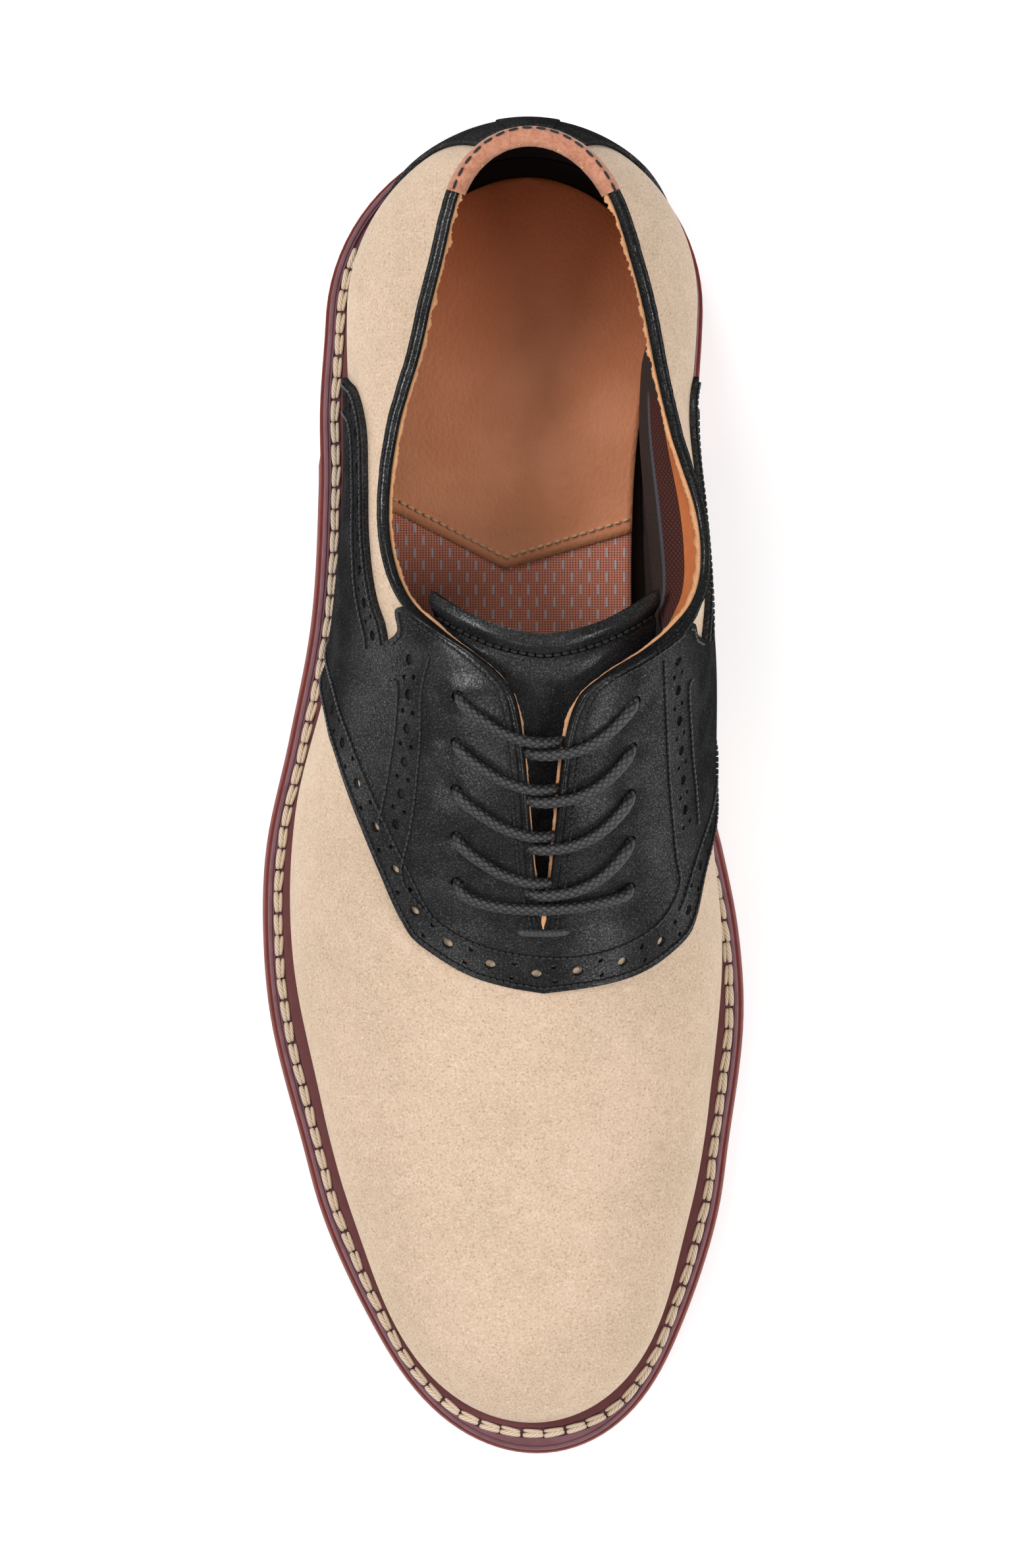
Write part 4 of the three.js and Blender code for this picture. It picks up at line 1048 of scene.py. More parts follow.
def build_strip():
    def at(side, a, b):
        turn = a * STRIP_TURN
        rise = mix(rise_above_welt(side, turn), rise_at_depth(side, turn, 0.9 * MM), b)
        return on_upper(side, turn, rise, OVERLAY_LIFT + OVERLAY - 0.02 * MM)

    panel("heel_strip", lay_both(8, 40, at), STRIP_THICKNESS)


build_strip()

# %% [markdown]
# ## Edges of the collar and throat
# The collar is bound with a rolled strip that runs on down both edges of the throat. Inside it shows the raw
# suede edge of the lining. Over the back of the collar lies a tab of tan suede. All are profiles swept along
# the top line, measured down the wall and off it.


# %% Sweep along the top line
def beside_top(side, turn, depth, lift):
    """Point near the top line: depth down the wall, or above it where negative, and lift off its face."""
    if depth > 0:
        return off_face(side, turn, rise_at_depth(side, turn, depth), lift)
    up = (face(side, turn, 1) - face(side, turn, 1 - STEP)).normalized()
    return off_face(side, turn, 1, lift) - up * depth


def wobble(length, size, seed):
    return noise.noise(Vector((length / size, seed, 0.5)))


def stations_between(start, end, step=1.3 * MM):
    count = max(8, round((end - start) * ROUND_LENGTH / step))
    return [mix(start, end, i / count) for i in range(count + 1)]


TAB_TURN = 0.097
THROAT_TURN = turn_at(THROAT_END)
BINDING = table(
    "depth lift",
    (1.9, 0.1), (1.75, 0.65), (1.2, 1.0), (0.3, 1.15), (-0.5, 0.95), (-1.0, 0.4), (-1.15, -0.3),
    (-0.8, -0.9), (-0.2, -1.15), (0.3, -0.8), (0.2, -0.1), (0.9, 0.05), (1.9, 0.1),
)


def build_binding(side, name, node):
    bm = bmesh.new()
    start_saddle = turn_at(COLLAR_END[side])

    def at(turn, row):
        on_saddle = smooth(turn, start_saddle - 0.012, start_saddle + 0.004)
        depth, lift = row["depth"] * mix(1, 0.62, on_saddle), row["lift"]
        if lift > -0.2:
            lift += on_saddle * 0.95
        crimp = 0.14 * wobble(turn * ROUND_LENGTH, 1.5 * MM, side * 3.7) * (1 if depth > -1 else 0.4)
        return beside_top(side, turn, depth * MM, (lift + crimp) * MM)

    lay_along(bm, stations_between(TAB_TURN - 0.004, THROAT_TURN, 0.9 * MM), BINDING, at)
    piece(name, bm, PIPING, [node], closed=True)


for side, word in ((-1, "outer"), (1, "inner")):
    build_binding(side, f"collar_piping_{word}", f"collar_binding_{word}")

# %% Raw edge of the lining
RAW = table(
    "depth lift",
    (-0.6, -1.1), (-0.95, -1.45), (-0.9, -1.9), (-0.4, -2.2), (0.6, -2.25), (2.0, -1.85), (0.5, -1.4),
    (-0.6, -1.1),
)


def build_raw_edge():
    bm = bmesh.new()
    for side in SIDES:

        def at(turn, row):
            length = turn * ROUND_LENGTH
            narrow = smooth(turn, turn_at(0.37), turn_at(0.41)) * 0.5
            torn = 1 + 1.6 * (1 - smooth(share_at(turn), 0.1, 0.22))
            fine, broad = wobble(length, 0.7 * MM, side + 5), wobble(length, 2.6 * MM, side + 9)
            rough = torn * (0.22 * fine + 0.25 * broad)
            in_slit = smooth(turn, turn_at(0.43), turn_at(0.45)) * (0.8 if side > 0 else 0.45)
            reach = 1 - narrow + in_slit + (rough if row["lift"] < -1.5 else 0)
            return beside_top(side, turn, row["depth"] * reach * MM, (-1.1 + (row["lift"] + 1.1) * reach) * MM)

        lay_along(bm, stations_between(0, THROAT_TURN, 0.45 * MM), RAW, at)
    piece("lining_edge", bm, RAW_EDGE, closed=True)


build_raw_edge()

# %% Heel tab
TAB = table(
    "depth lift",
    (1.5, 0.25), (1.4, 1.15), (0.9, 1.3), (0.2, 1.35), (-0.7, 1.2), (-1.25, 0.5), (-1.45, -0.4), (-1.4, -1.4),
    (-1.15, -2.3), (-0.5, -2.95), (0.6, -3.2), (5, -3.2), (12, -3.15), (12, -2.3), (5, -2.3), (0.8, -2.3),
    (0, -2.0), (-0.4, -1.2), (-0.4, -0.2), (0, 0.25), (1.5, 0.25),
)


def build_tab():
    bm = bmesh.new()
    for side in SIDES:

        def at(turn, row):
            rough = 0.06 * wobble(side * turn * ROUND_LENGTH, 1.1 * MM, row["depth"])
            return beside_top(side, turn, row["depth"] * MM, (row["lift"] + rough) * MM)

        lay_along(bm, stations_between(0, TAB_TURN, 0.6 * MM), TAB, at)
    return piece("heel_tab_suede", bm, TAB_SUEDE, ["heel_tab"], closed=True)


heel_tab = build_tab()

# %% [markdown]
# ## The tongue and the insole
# The tongue is a leaf of the same black leather, lined and turned over at its top edge. The insole is a
# cushioned pad: a perforated mesh in front, and behind it a leather seat that ends in a stitched V.

# %% Build the tongue
TONGUE_THICKNESS = 2.2 * MM
TONGUE_TOP_WIDTH, TONGUE_TOE_WIDTH = 53 * MM, 40 * MM
TONGUE_LIFT = -WALL - 2 * GAP
TONGUE_CORNER, TONGUE_TOP, TONGUE_TOE = 0.354, 0.383, 0.65  # shares of the length
HEM_SEAM = 0.065  # share of the tongue's length, from its top edge


def tongue_spot(side, a, b):
    top = mix(TONGUE_CORNER, TONGUE_TOP, 1 - (1 - b) ** 2)
    turn = turn_at(mix(top, TONGUE_TOE, a))
    half = mix(TONGUE_TOP_WIDTH, TONGUE_TOE_WIDTH, a) / 2
    return turn, rise_across(side, turn, half * (1 - b), "tongue")


def build_tongue():
    def at(side, a, b):
        turn, rise = tongue_spot(side, a, b)
        ridge = lambda middle, width: math.exp(-(((a - middle) / width) ** 2))
        puff = 0.7 * (ridge(0.03, 0.02) - ridge(HEM_SEAM, 0.012)) + 0.5 * ridge(0.14, 0.04) * smooth(b, 0, 0.3)
        return off_face(side, turn, rise, TONGUE_LIFT + puff * MM, "tongue")

    made = piece("tongue_leather", lay_both(90, 24, at), BLACK, ["tongue"])
    return settle(round_rim(thicken(made, TONGUE_THICKNESS), 0.7 * MM))


tongue = build_tongue()


# %% Insole finishes
def make_seat_leather():
    finish = Finish("insole_leather")
    pebble = finish.cells(0.75 * MM, "SMOOTH_F1", finish.place((1, 0.8, 1)))
    cloud = finish.grain(14 * MM, 3)
    grit = finish.grain(0.3 * MM, 3, 0.7)
    back = finish.axis(finish.place(), 1).between(70 * MM, 135 * MM)
    tone = finish.blend(color(238, 158, 117), color(225, 146, 104), cloud.between(0.3, 0.7))
    tone = finish.blend(tone, color(189, 86, 36), back * 0.85)
    tone = finish.blend(tone, color(236, 168, 128), grit.between(0.5, 0.8) * 0.35)
    finish.raise_by(pebble, 0.14 * MM, 0.8)
    finish.raise_by(grit, 0.03 * MM, 0.4)
    return finish.done(Base_Color=tone, Roughness=0.5 + cloud * 0.14, Specular_IOR_Level=0.2)


def make_mesh_cloth():
    finish = Finish("insole_mesh")
    where = finish.place()
    x, y = finish.axis(where, 0), finish.axis(where, 1)
    row = y / (2.75 * MM)
    odd = (row.floor() * 0.5).fraction()
    dash_x = ((x / (3.9 * MM) + odd).fraction() - 0.5).absolute() * 3.9
    dash_y = (row.fraction() - 0.5).absolute() * 2.75
    dash = (1 - dash_x.between(0.2, 0.3)) * (1 - dash_y.between(1.0, 1.15))
    hole_x = ((x / (0.62 * MM)).fraction() - 0.5).absolute() * 2
    hole_y = ((y / (0.55 * MM)).fraction() - 0.5).absolute() * 2
    hole = 1 - (hole_x * hole_x + hole_y * hole_y).between(0.1, 0.42)
    yarn = finish.grain(0.25 * MM, 3, 0.7)
    tone = finish.blend(color(255, 168, 140), color(226, 134, 110), yarn)
    # The holes are dark dots: the dark board seen through them, and painted shade inside them.
    tone = finish.blend(tone, color(56, 28, 22), hole * 0.8)
    tone = finish.blend(tone, color(216, 206, 212), dash * (0.7 + yarn * 0.5))
    finish.raise_by((1 - hole) + dash * 0.4, 0.25 * MM, 0.8)
    finish.raise_by(yarn, 0.1 * MM, 0.6)
    return finish.done(Base_Color=tone, Roughness=0.85)


def make_board():
    finish = Finish("insole_board")
    grit = finish.grain(0.4 * MM, 4, 0.65)
    tone = finish.blend(color(50, 32, 22), color(34, 22, 16), grit)
    finish.raise_by(grit, 0.08 * MM, 0.5)
    return finish.done(Base_Color=tone, Roughness=0.75, Specular_IOR_Level=0.2)


SEAT_LEATHER, MESH_CLOTH, BOARD = make_seat_leather(), make_mesh_cloth(), make_board()

# %% Build the insole
BOARD_HEIGHT, PAD_CROWN = 3.4 * MM, 0.4 * MM
SEAT_INSET = table(
    "at out in", (0, 5.6, 5.6), (0.06, 4, 4.4), (0.17, 2.3, 4), (0.3, 0.9, 5.9), (0.45, 1.3, 6.4),
    (0.65, 2, 3), (1, 3, 3),
)
V_SEAM = table("x along", (-45, 77), (-23, 85.6), (0.7, 98.1), (27.5, 89.9), (45, 83))


def floor_point(side, turn, height, inset):
    """Point inside the wall at a height over the sole, inset from the lining."""
    rise = rise_at_height(side, turn, height)
    return off_face(side, turn, rise, -WALL - GAP - inset)


def pad_point(turn, across, height, inset_by=None):
    """Point of a pad between the two inner walls, across from -1 to 1."""
    inset = lambda side: 0 if inset_by is None else column(inset_by, "at", share_at(turn), KEY[side]) * MM
    left, right = (floor_point(side, turn, height, inset(side)) for side in SIDES)
    return left.lerp(right, (across + 1) / 2)


def build_pad(name, material, start, end, height, inset_by, crown, thickness, stands_for=()):
    bm = bmesh.new()

    def at(a, b):
        turn, across = mix(start, end, a), b * 2 - 1
        point = pad_point(turn, across, height, inset_by)
        point.z += crown * (1 - across**4) * (1 - smooth(abs(turn * 2 - 1), 0.9, 1)) - crown * 0.2
        return point

    lay(bm, 110, 40, at)
    return thicken(piece(name, bm, material, stands_for), thickness)


build_pad("insole_board", BOARD, 0, 0.99, BOARD_HEIGHT, None, 0, 2.8 * MM, ["insole"])
mesh_pad = build_pad(
    "insole_mesh", MESH_CLOTH, 0, 0.985, INSOLE_THICKNESS - 0.4 * MM, SEAT_INSET, PAD_CROWN, 1.0 * MM,
)


def seam_along(x):
    """The V seam as straight runs between its corners."""
    for p, q in zip(V_SEAM, V_SEAM[1:]):
        if x / MM <= q["x"] or q is V_SEAM[-1]:
            return mix(p["along"], q["along"], (x / MM - p["x"]) / (q["x"] - p["x"])) * MM


def build_seat():
    """The leather seat, from the heel to the V seam."""
    bm = bmesh.new()

    def at(a, b):
        across = b * 2 - 1
        front = turn_at(88 * MM / LENGTH)
        for _ in range(4):
            point = pad_point(front, across, INSOLE_THICKNESS, SEAT_INSET)
            front = turn_at(min(seam_along(point.x), LENGTH * 0.5) / LENGTH)
        point = pad_point(front * a, across, INSOLE_THICKNESS - 0.35 * MM, SEAT_INSET)
        point.z += PAD_CROWN * (1 - across**4) + 0.04 * MM
        return point

    lay(bm, 60, 44, at)
    return thicken(piece("insole_seat", bm, SEAT_LEATHER), 0.7 * MM, 1)


seat = build_seat()

# %% [markdown]
# ## Holes
# Eyelets are punched through saddle and upper for the lace. The broguing is punched along the panels' edges:
# a large hole, then a pair of small ones side by side. Along the front edge they go right through and show the
# nubuck, and elsewhere a second layer of black leather closes them.


# %% Find places on a finished panel
class Skin:
    """A surface, asked for its nearest or uppermost point."""

    def __init__(self, bm):
        bm.normal_update()
        self.tree = BVHTree.FromBMesh(bm)
        bm.free()

    @classmethod
    def of(cls, made):
        bm = bmesh.new()
        bm.from_mesh(made.evaluated_get(bpy.context.evaluated_depsgraph_get()).to_mesh())
        return cls(bm)

    @classmethod
    def over_wall(cls, lift):
        """The whole wall at a lift. It has no panel edges, so its directions are calm."""
        bm = lay_both(150, 60, lambda side, a, b: on_upper(side, a, mix(0.02, 1, b), lift))
        bmesh.ops.remove_doubles(bm, verts=bm.verts, dist=0.004 * MM)
        return cls(bm)

    def near(self, point):
        found = self.tree.find_nearest(point)
        return found[0], found[1]

    def below(self, x, along, top=0.2):
        return self.tree.ray_cast(place(x, along, top), Vector((0, 0, -1)))[0]


def resample(points, step, start=0.0):
    """Points at equal steps along a run of points, with their directions."""
    made, travelled, due = [], 0.0, start
    for a, b in zip(points, points[1:]):
        length = (b - a).length
        while length and due <= travelled + length:
            made.append((a.lerp(b, (due - travelled) / length), (b - a).normalized()))
            due += step
        travelled += length
    return made


def line_length(points):
    return sum((b - a).length for a, b in zip(points, points[1:]))


PANEL_TOP = OVERLAY_LIFT + OVERLAY
saddle_skin = Skin.over_wall(PANEL_TOP)
steps = [i / 60 for i in range(61)]


def inset_line(points, distance, smoothing=2):
    """The same line moved sideways over the saddle. Positive goes to the left, seen from outside."""
    made = []
    for i, point in enumerate(points):
        before, after = points[max(i - smoothing, 0)], points[min(i + smoothing, len(points) - 1)]
        _, up = saddle_skin.near(point)
        aside = up.cross((after - before).normalized()).normalized()
        made.append(saddle_skin.near(point + aside * distance)[0])
    return made


def wall_line(side, spots):
    return [on_upper(side, turn_at(share), rise, PANEL_TOP) for share, rise in spots]


def front_line(side):
    shares = [mix(SADDLE_FRONT[0]["at"] + 0.01, FRONT, 1 - (1 - u) ** 2) for u in steps]
    return wall_line(side, [(share, saddle_low(side, share)) for share in shares])


def wing_line(side):
    shares = [mix(WING_START, NOTCH, u) for u in steps]
    return wall_line(side, [(share, column(SADDLE_WING, "at", share, KEY[side])) for share in shares])


def rear_line(side):
    """The rear edge of the facing, without its ends."""
    low, reach = SADDLE_WING[-1][KEY[side]], [u * 0.8 for u in steps[9::3]]
    return wall_line(side, [(rear_share(side, above), mix(low, 1, above)) for above in reach])


FRONT_EDGE = front_line(-1) + front_line(1)[::-1][1:]
WING_EDGE, REAR_EDGE = ({side: line(side) for side in SIDES} for line in (wing_line, rear_line))
print("front edge of the saddle is", round(line_length(FRONT_EDGE) / MM), "mm long")

# %% Punch the broguing and the eyelets
EYELET_DIAMETER = 2.9 * MM
BIG_HOLE, SMALL_HOLE = 2.2 * MM, 1.15 * MM
HOLE_PITCH, CLOSE_PITCH = 10.4 * MM, 7.65 * MM
BAND_MIDDLE = 4.3 * MM
PAIR_OFFSET, CLOSE_OFFSET = 1.75 * MM, 1.5 * MM  # of the small holes, from the middle of their band
PIN_ABOVE = 2 * MM


def frame_at(point, up, along):
    """Matrix whose z axis is up and whose x axis runs along."""
    side = up.cross(along).normalized()
    along = side.cross(up).normalized()
    return Matrix.Translation(point) @ Matrix((along, side, up)).transposed().to_4x4()


def eyelet_spot(side, row):
    turn = turn_at(eyelet_share(side, row))
    rise = rise_across(side, turn, EYELET_OFFSET)
    return off_face(side, turn, rise, 0), normal(side, turn, rise)


def add_pin(bm, point, up, along, diameter, depth, sides, stretch=1.0):
    """A cutting pin that reaches depth under a point of the skin."""
    middle = frame_at(point + up * (PIN_ABOVE - depth) / 2, up, along) @ Matrix.Diagonal((stretch, 1, 1, 1))
    bmesh.ops.create_cone(
        bm, cap_ends=True, segments=sides, radius1=diameter / 2, radius2=diameter / 2,
        depth=PIN_ABOVE + depth, matrix=middle,
    )


def brogue(bm, line, depth, start=0.0, pitch=HOLE_PITCH, offset=PAIR_OFFSET):
    """A large hole at each step along a line, and a pair of small ones between."""
    for point, along in resample(line, pitch, start):
        spot, up = saddle_skin.near(point)
        add_pin(bm, spot, up, along, BIG_HOLE, depth, 16, 1.08)
    for point, along in resample(line, pitch, start + pitch / 2):
        _, up = saddle_skin.near(point)
        aside = up.cross(along).normalized()
        for way in (-1, 1):
            spot, up_there = saddle_skin.near(point + aside * way * offset)
            add_pin(bm, spot, up_there, along, SMALL_HOLE, depth, 10)


def punch(made, tool):
    cut = made.modifiers.new("holes", "BOOLEAN")
    cut.operation, cut.object, cut.solver = "DIFFERENCE", tool, "MANIFOLD"
    settle(made, sharp=40)


THROUGH, BLIND = 1.6 * MM, 0.75 * MM
STAY = {
    -1: table(
        "x along", (-20, 120.1), (-20.2, 128.6), (-20.7, 137), (-21.2, 143), (-22.2, 151.4), (-23.7, 158.8)
    ),
    1: table("x along", (38.2, 120.5), (38.3, 128.6), (38.9, 137), (39.4, 143), (40, 151.4), (40.9, 158.8)),
}


def plan_line(rows, count=60):
    """A smooth line through places seen from above, dropped on the saddle."""
    keyed = [{"at": i / (len(rows) - 1), **row} for i, row in enumerate(rows)]
    points = []
    for i in range(count + 1):
        x, along = (column(keyed, "at", i / count, key) * MM for key in ("x", "along"))
        points.append(saddle_skin.below(x, along))
    return [point for point in points if point is not None]


front_band = inset_line(FRONT_EDGE, BAND_MIDDLE)
start = (line_length(front_band) / 2 - HOLE_PITCH / 2) % HOLE_PITCH  # puts the middle between two holes
holes, eyelets = bmesh.new(), bmesh.new()
brogue(holes, front_band, THROUGH, start)
for side in SIDES:
    band = inset_line(WING_EDGE[side], side * BAND_MIDDLE)
    for line, first in ((band, 3 * MM), (plan_line(STAY[side]), 0)):
        brogue(holes, line, BLIND, first, CLOSE_PITCH, CLOSE_OFFSET)
for row in range(EYELET_ROWS):
    for side in SIDES:
        point, up = eyelet_spot(side, row)
        add_pin(eyelets, point + up * PIN_ABOVE, up, Vector((0, 1, 0)), EYELET_DIAMETER, 6 * MM, 20)
holes_tool, eyelets_tool = bare_object("broguing", holes), bare_object("eyelets", eyelets)
punch(saddle, holes_tool)
punch(saddle, eyelets_tool)
punch(upper, eyelets_tool)
for tool in (holes_tool, eyelets_tool):
    bpy.data.objects.remove(tool)
print("saddle now has", len(saddle.data.polygons), "faces, upper", len(upper.data.polygons))

# %% [markdown]
# ## Stitching
# A seam is a row of small stitches, each a short round thread that dips into the leather at both ends. One
# stitch is modelled, copied along the seam by its measured length, and joined into one mesh per thread.


# %% Copy a stitch along seams
def stitch_shape(segments, rings, blunt=0.6):
    """A short thread along x, one unit long, with blunt ends and its chart along and round it."""
    bm = bmesh.new()
    bm.loops.layers.uv.new("UVMap")
    turned = Matrix.Rotation(math.pi / 2, 4, "Y")
    bmesh.ops.create_uvsphere(
        bm, u_segments=segments, v_segments=rings, radius=0.5, matrix=turned, calc_uvs=True
    )
    for vert in bm.verts:
        reach = math.hypot(vert.co.y, vert.co.z) * 2
        if reach > 1e-6:
            vert.co.yz *= reach ** (blunt - 1)
    mesh = bpy.data.meshes.new("stitch")
    bm.to_mesh(mesh)
    bm.free()
    return mesh


STITCH = stitch_shape(6, 6)


def join_copies(name, shape, frames, material):
    bm = bmesh.new()
    for matrix in frames:
        copy = shape.copy()
        copy.transform(matrix)
        bm.from_mesh(copy)
        bpy.data.meshes.remove(copy)
    piece(name, bm, material, merge=0)


def seam(skin, line, pitch, length, width, height, sink=0.1 * MM, wander=0.0):
    """Frames of the stitches along a line."""
    frames = []
    for i, (point, along) in enumerate(resample(line, pitch, pitch / 2)):
        spot, up = skin.near(point)
        aside = up.cross(along).normalized()
        spot = spot + aside * wander * math.sin(i * 2.4) + up * (height / 2 - sink)
        frames.append(frame_at(spot, up, along) @ Matrix.Diagonal((length, width, height, 1)))
    return frames


def add_seam_shadow(bm, skin, line, width=1.0 * MM, lift=0.04 * MM):
    """A narrow dark strip under a row of stitches: painted shadow of the pressed track they sit in."""
    spots = resample(line, 1.1 * MM)

    def at(a, b):
        point, along = spots[round(a * (len(spots) - 1))]
        _, up = skin.near(point)
        spot, up = skin.near(point + up.cross(along).normalized() * width * (b - 0.5))
        return spot + up * lift * (1 if b == 0.5 else -1.5)

    lay(bm, len(spots) - 1, 2, at)


tongue_skin = Skin.of(tongue)
FINE = dict(pitch=1.5 * MM, length=1.35 * MM, width=0.62 * MM, height=0.7 * MM, wander=0.05 * MM)

HEM = dict(pitch=1.9 * MM, length=1.65 * MM, width=0.8 * MM, height=0.9 * MM, wander=0.05 * MM)
SEAM_INSET, SECOND_SEAM = 1.3 * MM, 7.6 * MM  # from the edge of the saddle
EYESTAY = table(
    "x along",
    (-15.4, 119.5), (-17.2, 127), (-17.6, 138), (-18.8, 150), (-20.1, 158), (-21.8, 165.5), (-20.4, 170.3),
    (-15.6, 175.6), (-10.8, 179.3), (-5.3, 182), (1, 183.8), (9.6, 184.9), (16, 184.8), (23, 183.5),
    (30.4, 180.4), (35.6, 176), (38.9, 169), (38, 162), (36.5, 148), (35.6, 134), (34.9, 120),
)
FLANK = {
    -1: table(
        "x along",
        (-24.8, 124.3), (-22.5, 125.4), (-22.9, 134.3), (-24, 141.6), (-25.2, 148.5), (-26.9, 155.9),
    ),
    1: table("x along", (41.5, 124), (40.5, 126), (41, 134.3), (41.6, 141.6), (42.4, 148.5), (43, 155.9)),
}
seam_lines = []
for side in SIDES:
    seam_lines += [inset_line(WING_EDGE[side], side * inset) for inset in (SEAM_INSET, SECOND_SEAM)]
    seam_lines.append(inset_line(REAR_EDGE[side], side * SEAM_INSET))
    seam_lines.append(plan_line(FLANK[side]))
    turns = stations_between(turn_at(COLLAR_END[side]) + 0.006, THROAT_TURN)
    seam_lines.append(wall_line(side, [(share_at(t), rise_at_depth(side, t, 2.6 * MM)) for t in turns]))
seam_lines += [inset_line(FRONT_EDGE, SEAM_INSET), plan_line(EYESTAY, 200)]
inner_front = inset_line(FRONT_EDGE, SECOND_SEAM)
keep = int(len(inner_front) * 0.3)
seam_lines += [inner_front[:keep], inner_front[-keep:]]


def hem_line(side):
    spots = [tongue_spot(side, HEM_SEAM, i / 30) for i in range(1, 31)]
    return [off_face(side, *spot, TONGUE_LIFT, "tongue") for spot in spots]


tongue_edge = hem_line(-1) + hem_line(1)[::-1]
# Each row of stitches gets a dark strip beneath it: painted shadow of its pressed track.
frames, shadow_strips = [], bmesh.new()
for line in seam_lines:
    frames += seam(saddle_skin, line, **FINE)
    add_seam_shadow(shadow_strips, saddle_skin, line)
add_seam_shadow(shadow_strips, tongue_skin, tongue_edge)
piece("painted_seam_shadows", shadow_strips, SEAM_SHADOW)
frames += seam(tongue_skin, tongue_edge, **HEM)
print(len(frames), "black stitches")
join_copies("seam_stitches", STITCH, frames, BLACK_THREAD)

# %% Welt stitches
WELT_PITCH = 4.9 * MM
WELT_START = {-1: turn_at(0.088), 1: turn_at(0.415)}


def welt_line(inset, drop):
    ring = welt_ring(inset, drop)
    outer = [ring(-1, t) for t in stations_between(WELT_START[-1], 1)]
    inner = [ring(1, t) for t in stations_between(WELT_START[1], 1)]
    return outer + inner[::-1][1:]


frames = []
for i, (point, along) in enumerate(resample(welt_line(0, -0.05 * MM), WELT_PITCH, 2 * MM)):
    up = Vector((0, 0, 1))
    base = frame_at(point, up, along)
    lean = 0.06 * math.sin(i * 1.7)
    for aside, length, width, height, turn in (
        (-0.42, 4.8, 1.3, 1.25, 0.03 + lean), (0.5, 4.5, 0.9, 1.05, -0.06 + lean),
    ):
        shape = Matrix.Diagonal((length * MM, width * MM, height * MM, 1))
        moved = Matrix.Translation((0.1 * MM * math.sin(i * 2.9), aside * MM, 0))
        frames.append(base @ moved @ Matrix.Rotation(turn, 4, "Z") @ shape)
join_copies("welt_stitches", stitch_shape(10, 8, 0.4), frames, WELT_THREAD)

# %% Stitches of the insole and the heel tab
seat_skin, tab_skin = Skin.of(seat), Skin.of(heel_tab)
v_points = [
    seat_skin.below(x, seam_along(x) - 1.7 * MM, 0.06) for x in (mix(-36, 38, i / 80) * MM for i in range(81))
]
v_points = [point for point in v_points if point is not None]


def tab_edge(side):
    return [tab_skin.near(beside_top(side, t, -0.9 * MM, 1.3 * MM))[0] for t in stations_between(0, TAB_TURN)]


pale = seam(seat_skin, v_points, 2.0 * MM, 1.6 * MM, 0.8 * MM, 0.8 * MM)
join_copies("insole_stitches", STITCH, pale, PALE_THREAD)
dashes = seam(tab_skin, tab_edge(-1)[::-1] + tab_edge(1)[1:], 3.0 * MM, 2.2 * MM, 0.65 * MM, 0.6 * MM)
join_copies("tab_stitches", STITCH, dashes, BLACK_THREAD)

# %% [markdown]
# ## The lace
# One round waxed lace does the whole job. It starts under the top eyelet, comes up through each eyelet, drops
# into the slit between the facings, passes under the far facing and comes up again one row lower. At the
# bottom it crosses straight over. Its braid is modelled as raised strands, so that its edge is not smooth.

# %% Route of the lace
LACE_DIAMETER, LACE_SIDES, LACE_STEP = 2.45 * MM, 20, 0.32 * MM
BRAID_PITCH, BRAID_STRANDS = 1.9 * MM, 5
OUTER_RUN = table(
    "beside ahead lift",
    (-18.4, -0.9, -3.0), (-18.7, -0.6, -1.2), (-18.3, -0.3, 0.9), (-17.1, 0.5, 2.35), (-15, 2.2, 2.75),
    (-12, 4.3, 2.85), (-9.2, 6.1, 2.8), (-6, 7.4, 2.7), (-3.4, 8.2, 2.45), (-0.6, 8.9, 1.6), (2, 9.3, 0.3),
    (4.6, 9.7, -1.6), (7.5, 10.1, -3.0), (12, 10.6, -3.1),
)
INNER_RUN = table(
    "beside ahead lift",
    (18.4, 0.5, -3.0), (18.7, 0.6, -1.2), (18.3, 0.8, 0.9), (17.0, 2.0, 2.35), (15.2, 4.2, 2.75),
    (12.6, 6.9, 2.85), (9.8, 8.9, 2.85), (6.6, 10.3, 2.8), (3.4, 10.9, 2.75), (0.6, 11.3, 2.5),
    (-2.2, 11.5, 1.5), (-4.6, 11.5, -0.6), (-7, 11.2, -2.6), (-12, 10.5, -3.1),
)
BAR = table(
    "beside ahead lift",
    (-18.4, -0.9, -3.0), (-18.7, -0.6, -1.2), (-18.2, -0.1, 0.9), (-16.8, 0.9, 2.4), (-13.5, 2.4, 2.8),
    (-8, 3.5, 2.8), (-2, 3.8, 2.75), (4, 3.6, 2.8), (10, 3.0, 2.8), (14.5, 2.1, 2.75), (17.1, 1.4, 2.3),
    (18.3, 0.8, 0.9), (18.7, 0.6, -1.2), (18.4, 0.5, -3.0),
)


def lace_points(rows, row):
    base = FIRST_EYELET + row * EYELET_PITCH / LENGTH
    return [over_instep(r["beside"] * MM, base + r["ahead"] * MM / LENGTH, r["lift"] * MM) for r in rows]


route = []
for row in range(EYELET_ROWS - 1):
    route += lace_points(OUTER_RUN if row % 2 == 0 else INNER_RUN, row)
route += lace_points(BAR, EYELET_ROWS - 1)
for row in reversed(range(EYELET_ROWS - 1)):
    route += lace_points(INNER_RUN if row % 2 == 0 else OUTER_RUN, row)[::-1]


def smooth_route(points, each=14):
    """A Catmull-Rom curve through the points."""
    made = []
    for i in range(len(points) - 1):
        p0, p1 = points[max(i - 1, 0)], points[i]
        p2, p3 = points[i + 1], points[min(i + 2, len(points) - 1)]
        for k in range(each):
            t = k / each
            made.append(
                0.5 * (2 * p1 + (p2 - p0) * t + (2 * p0 - 5 * p1 + 4 * p2 - p3) * t * t
                       + (3 * p1 - p0 - 3 * p2 + p3) * t**3)
            )
    return made + [points[-1]]


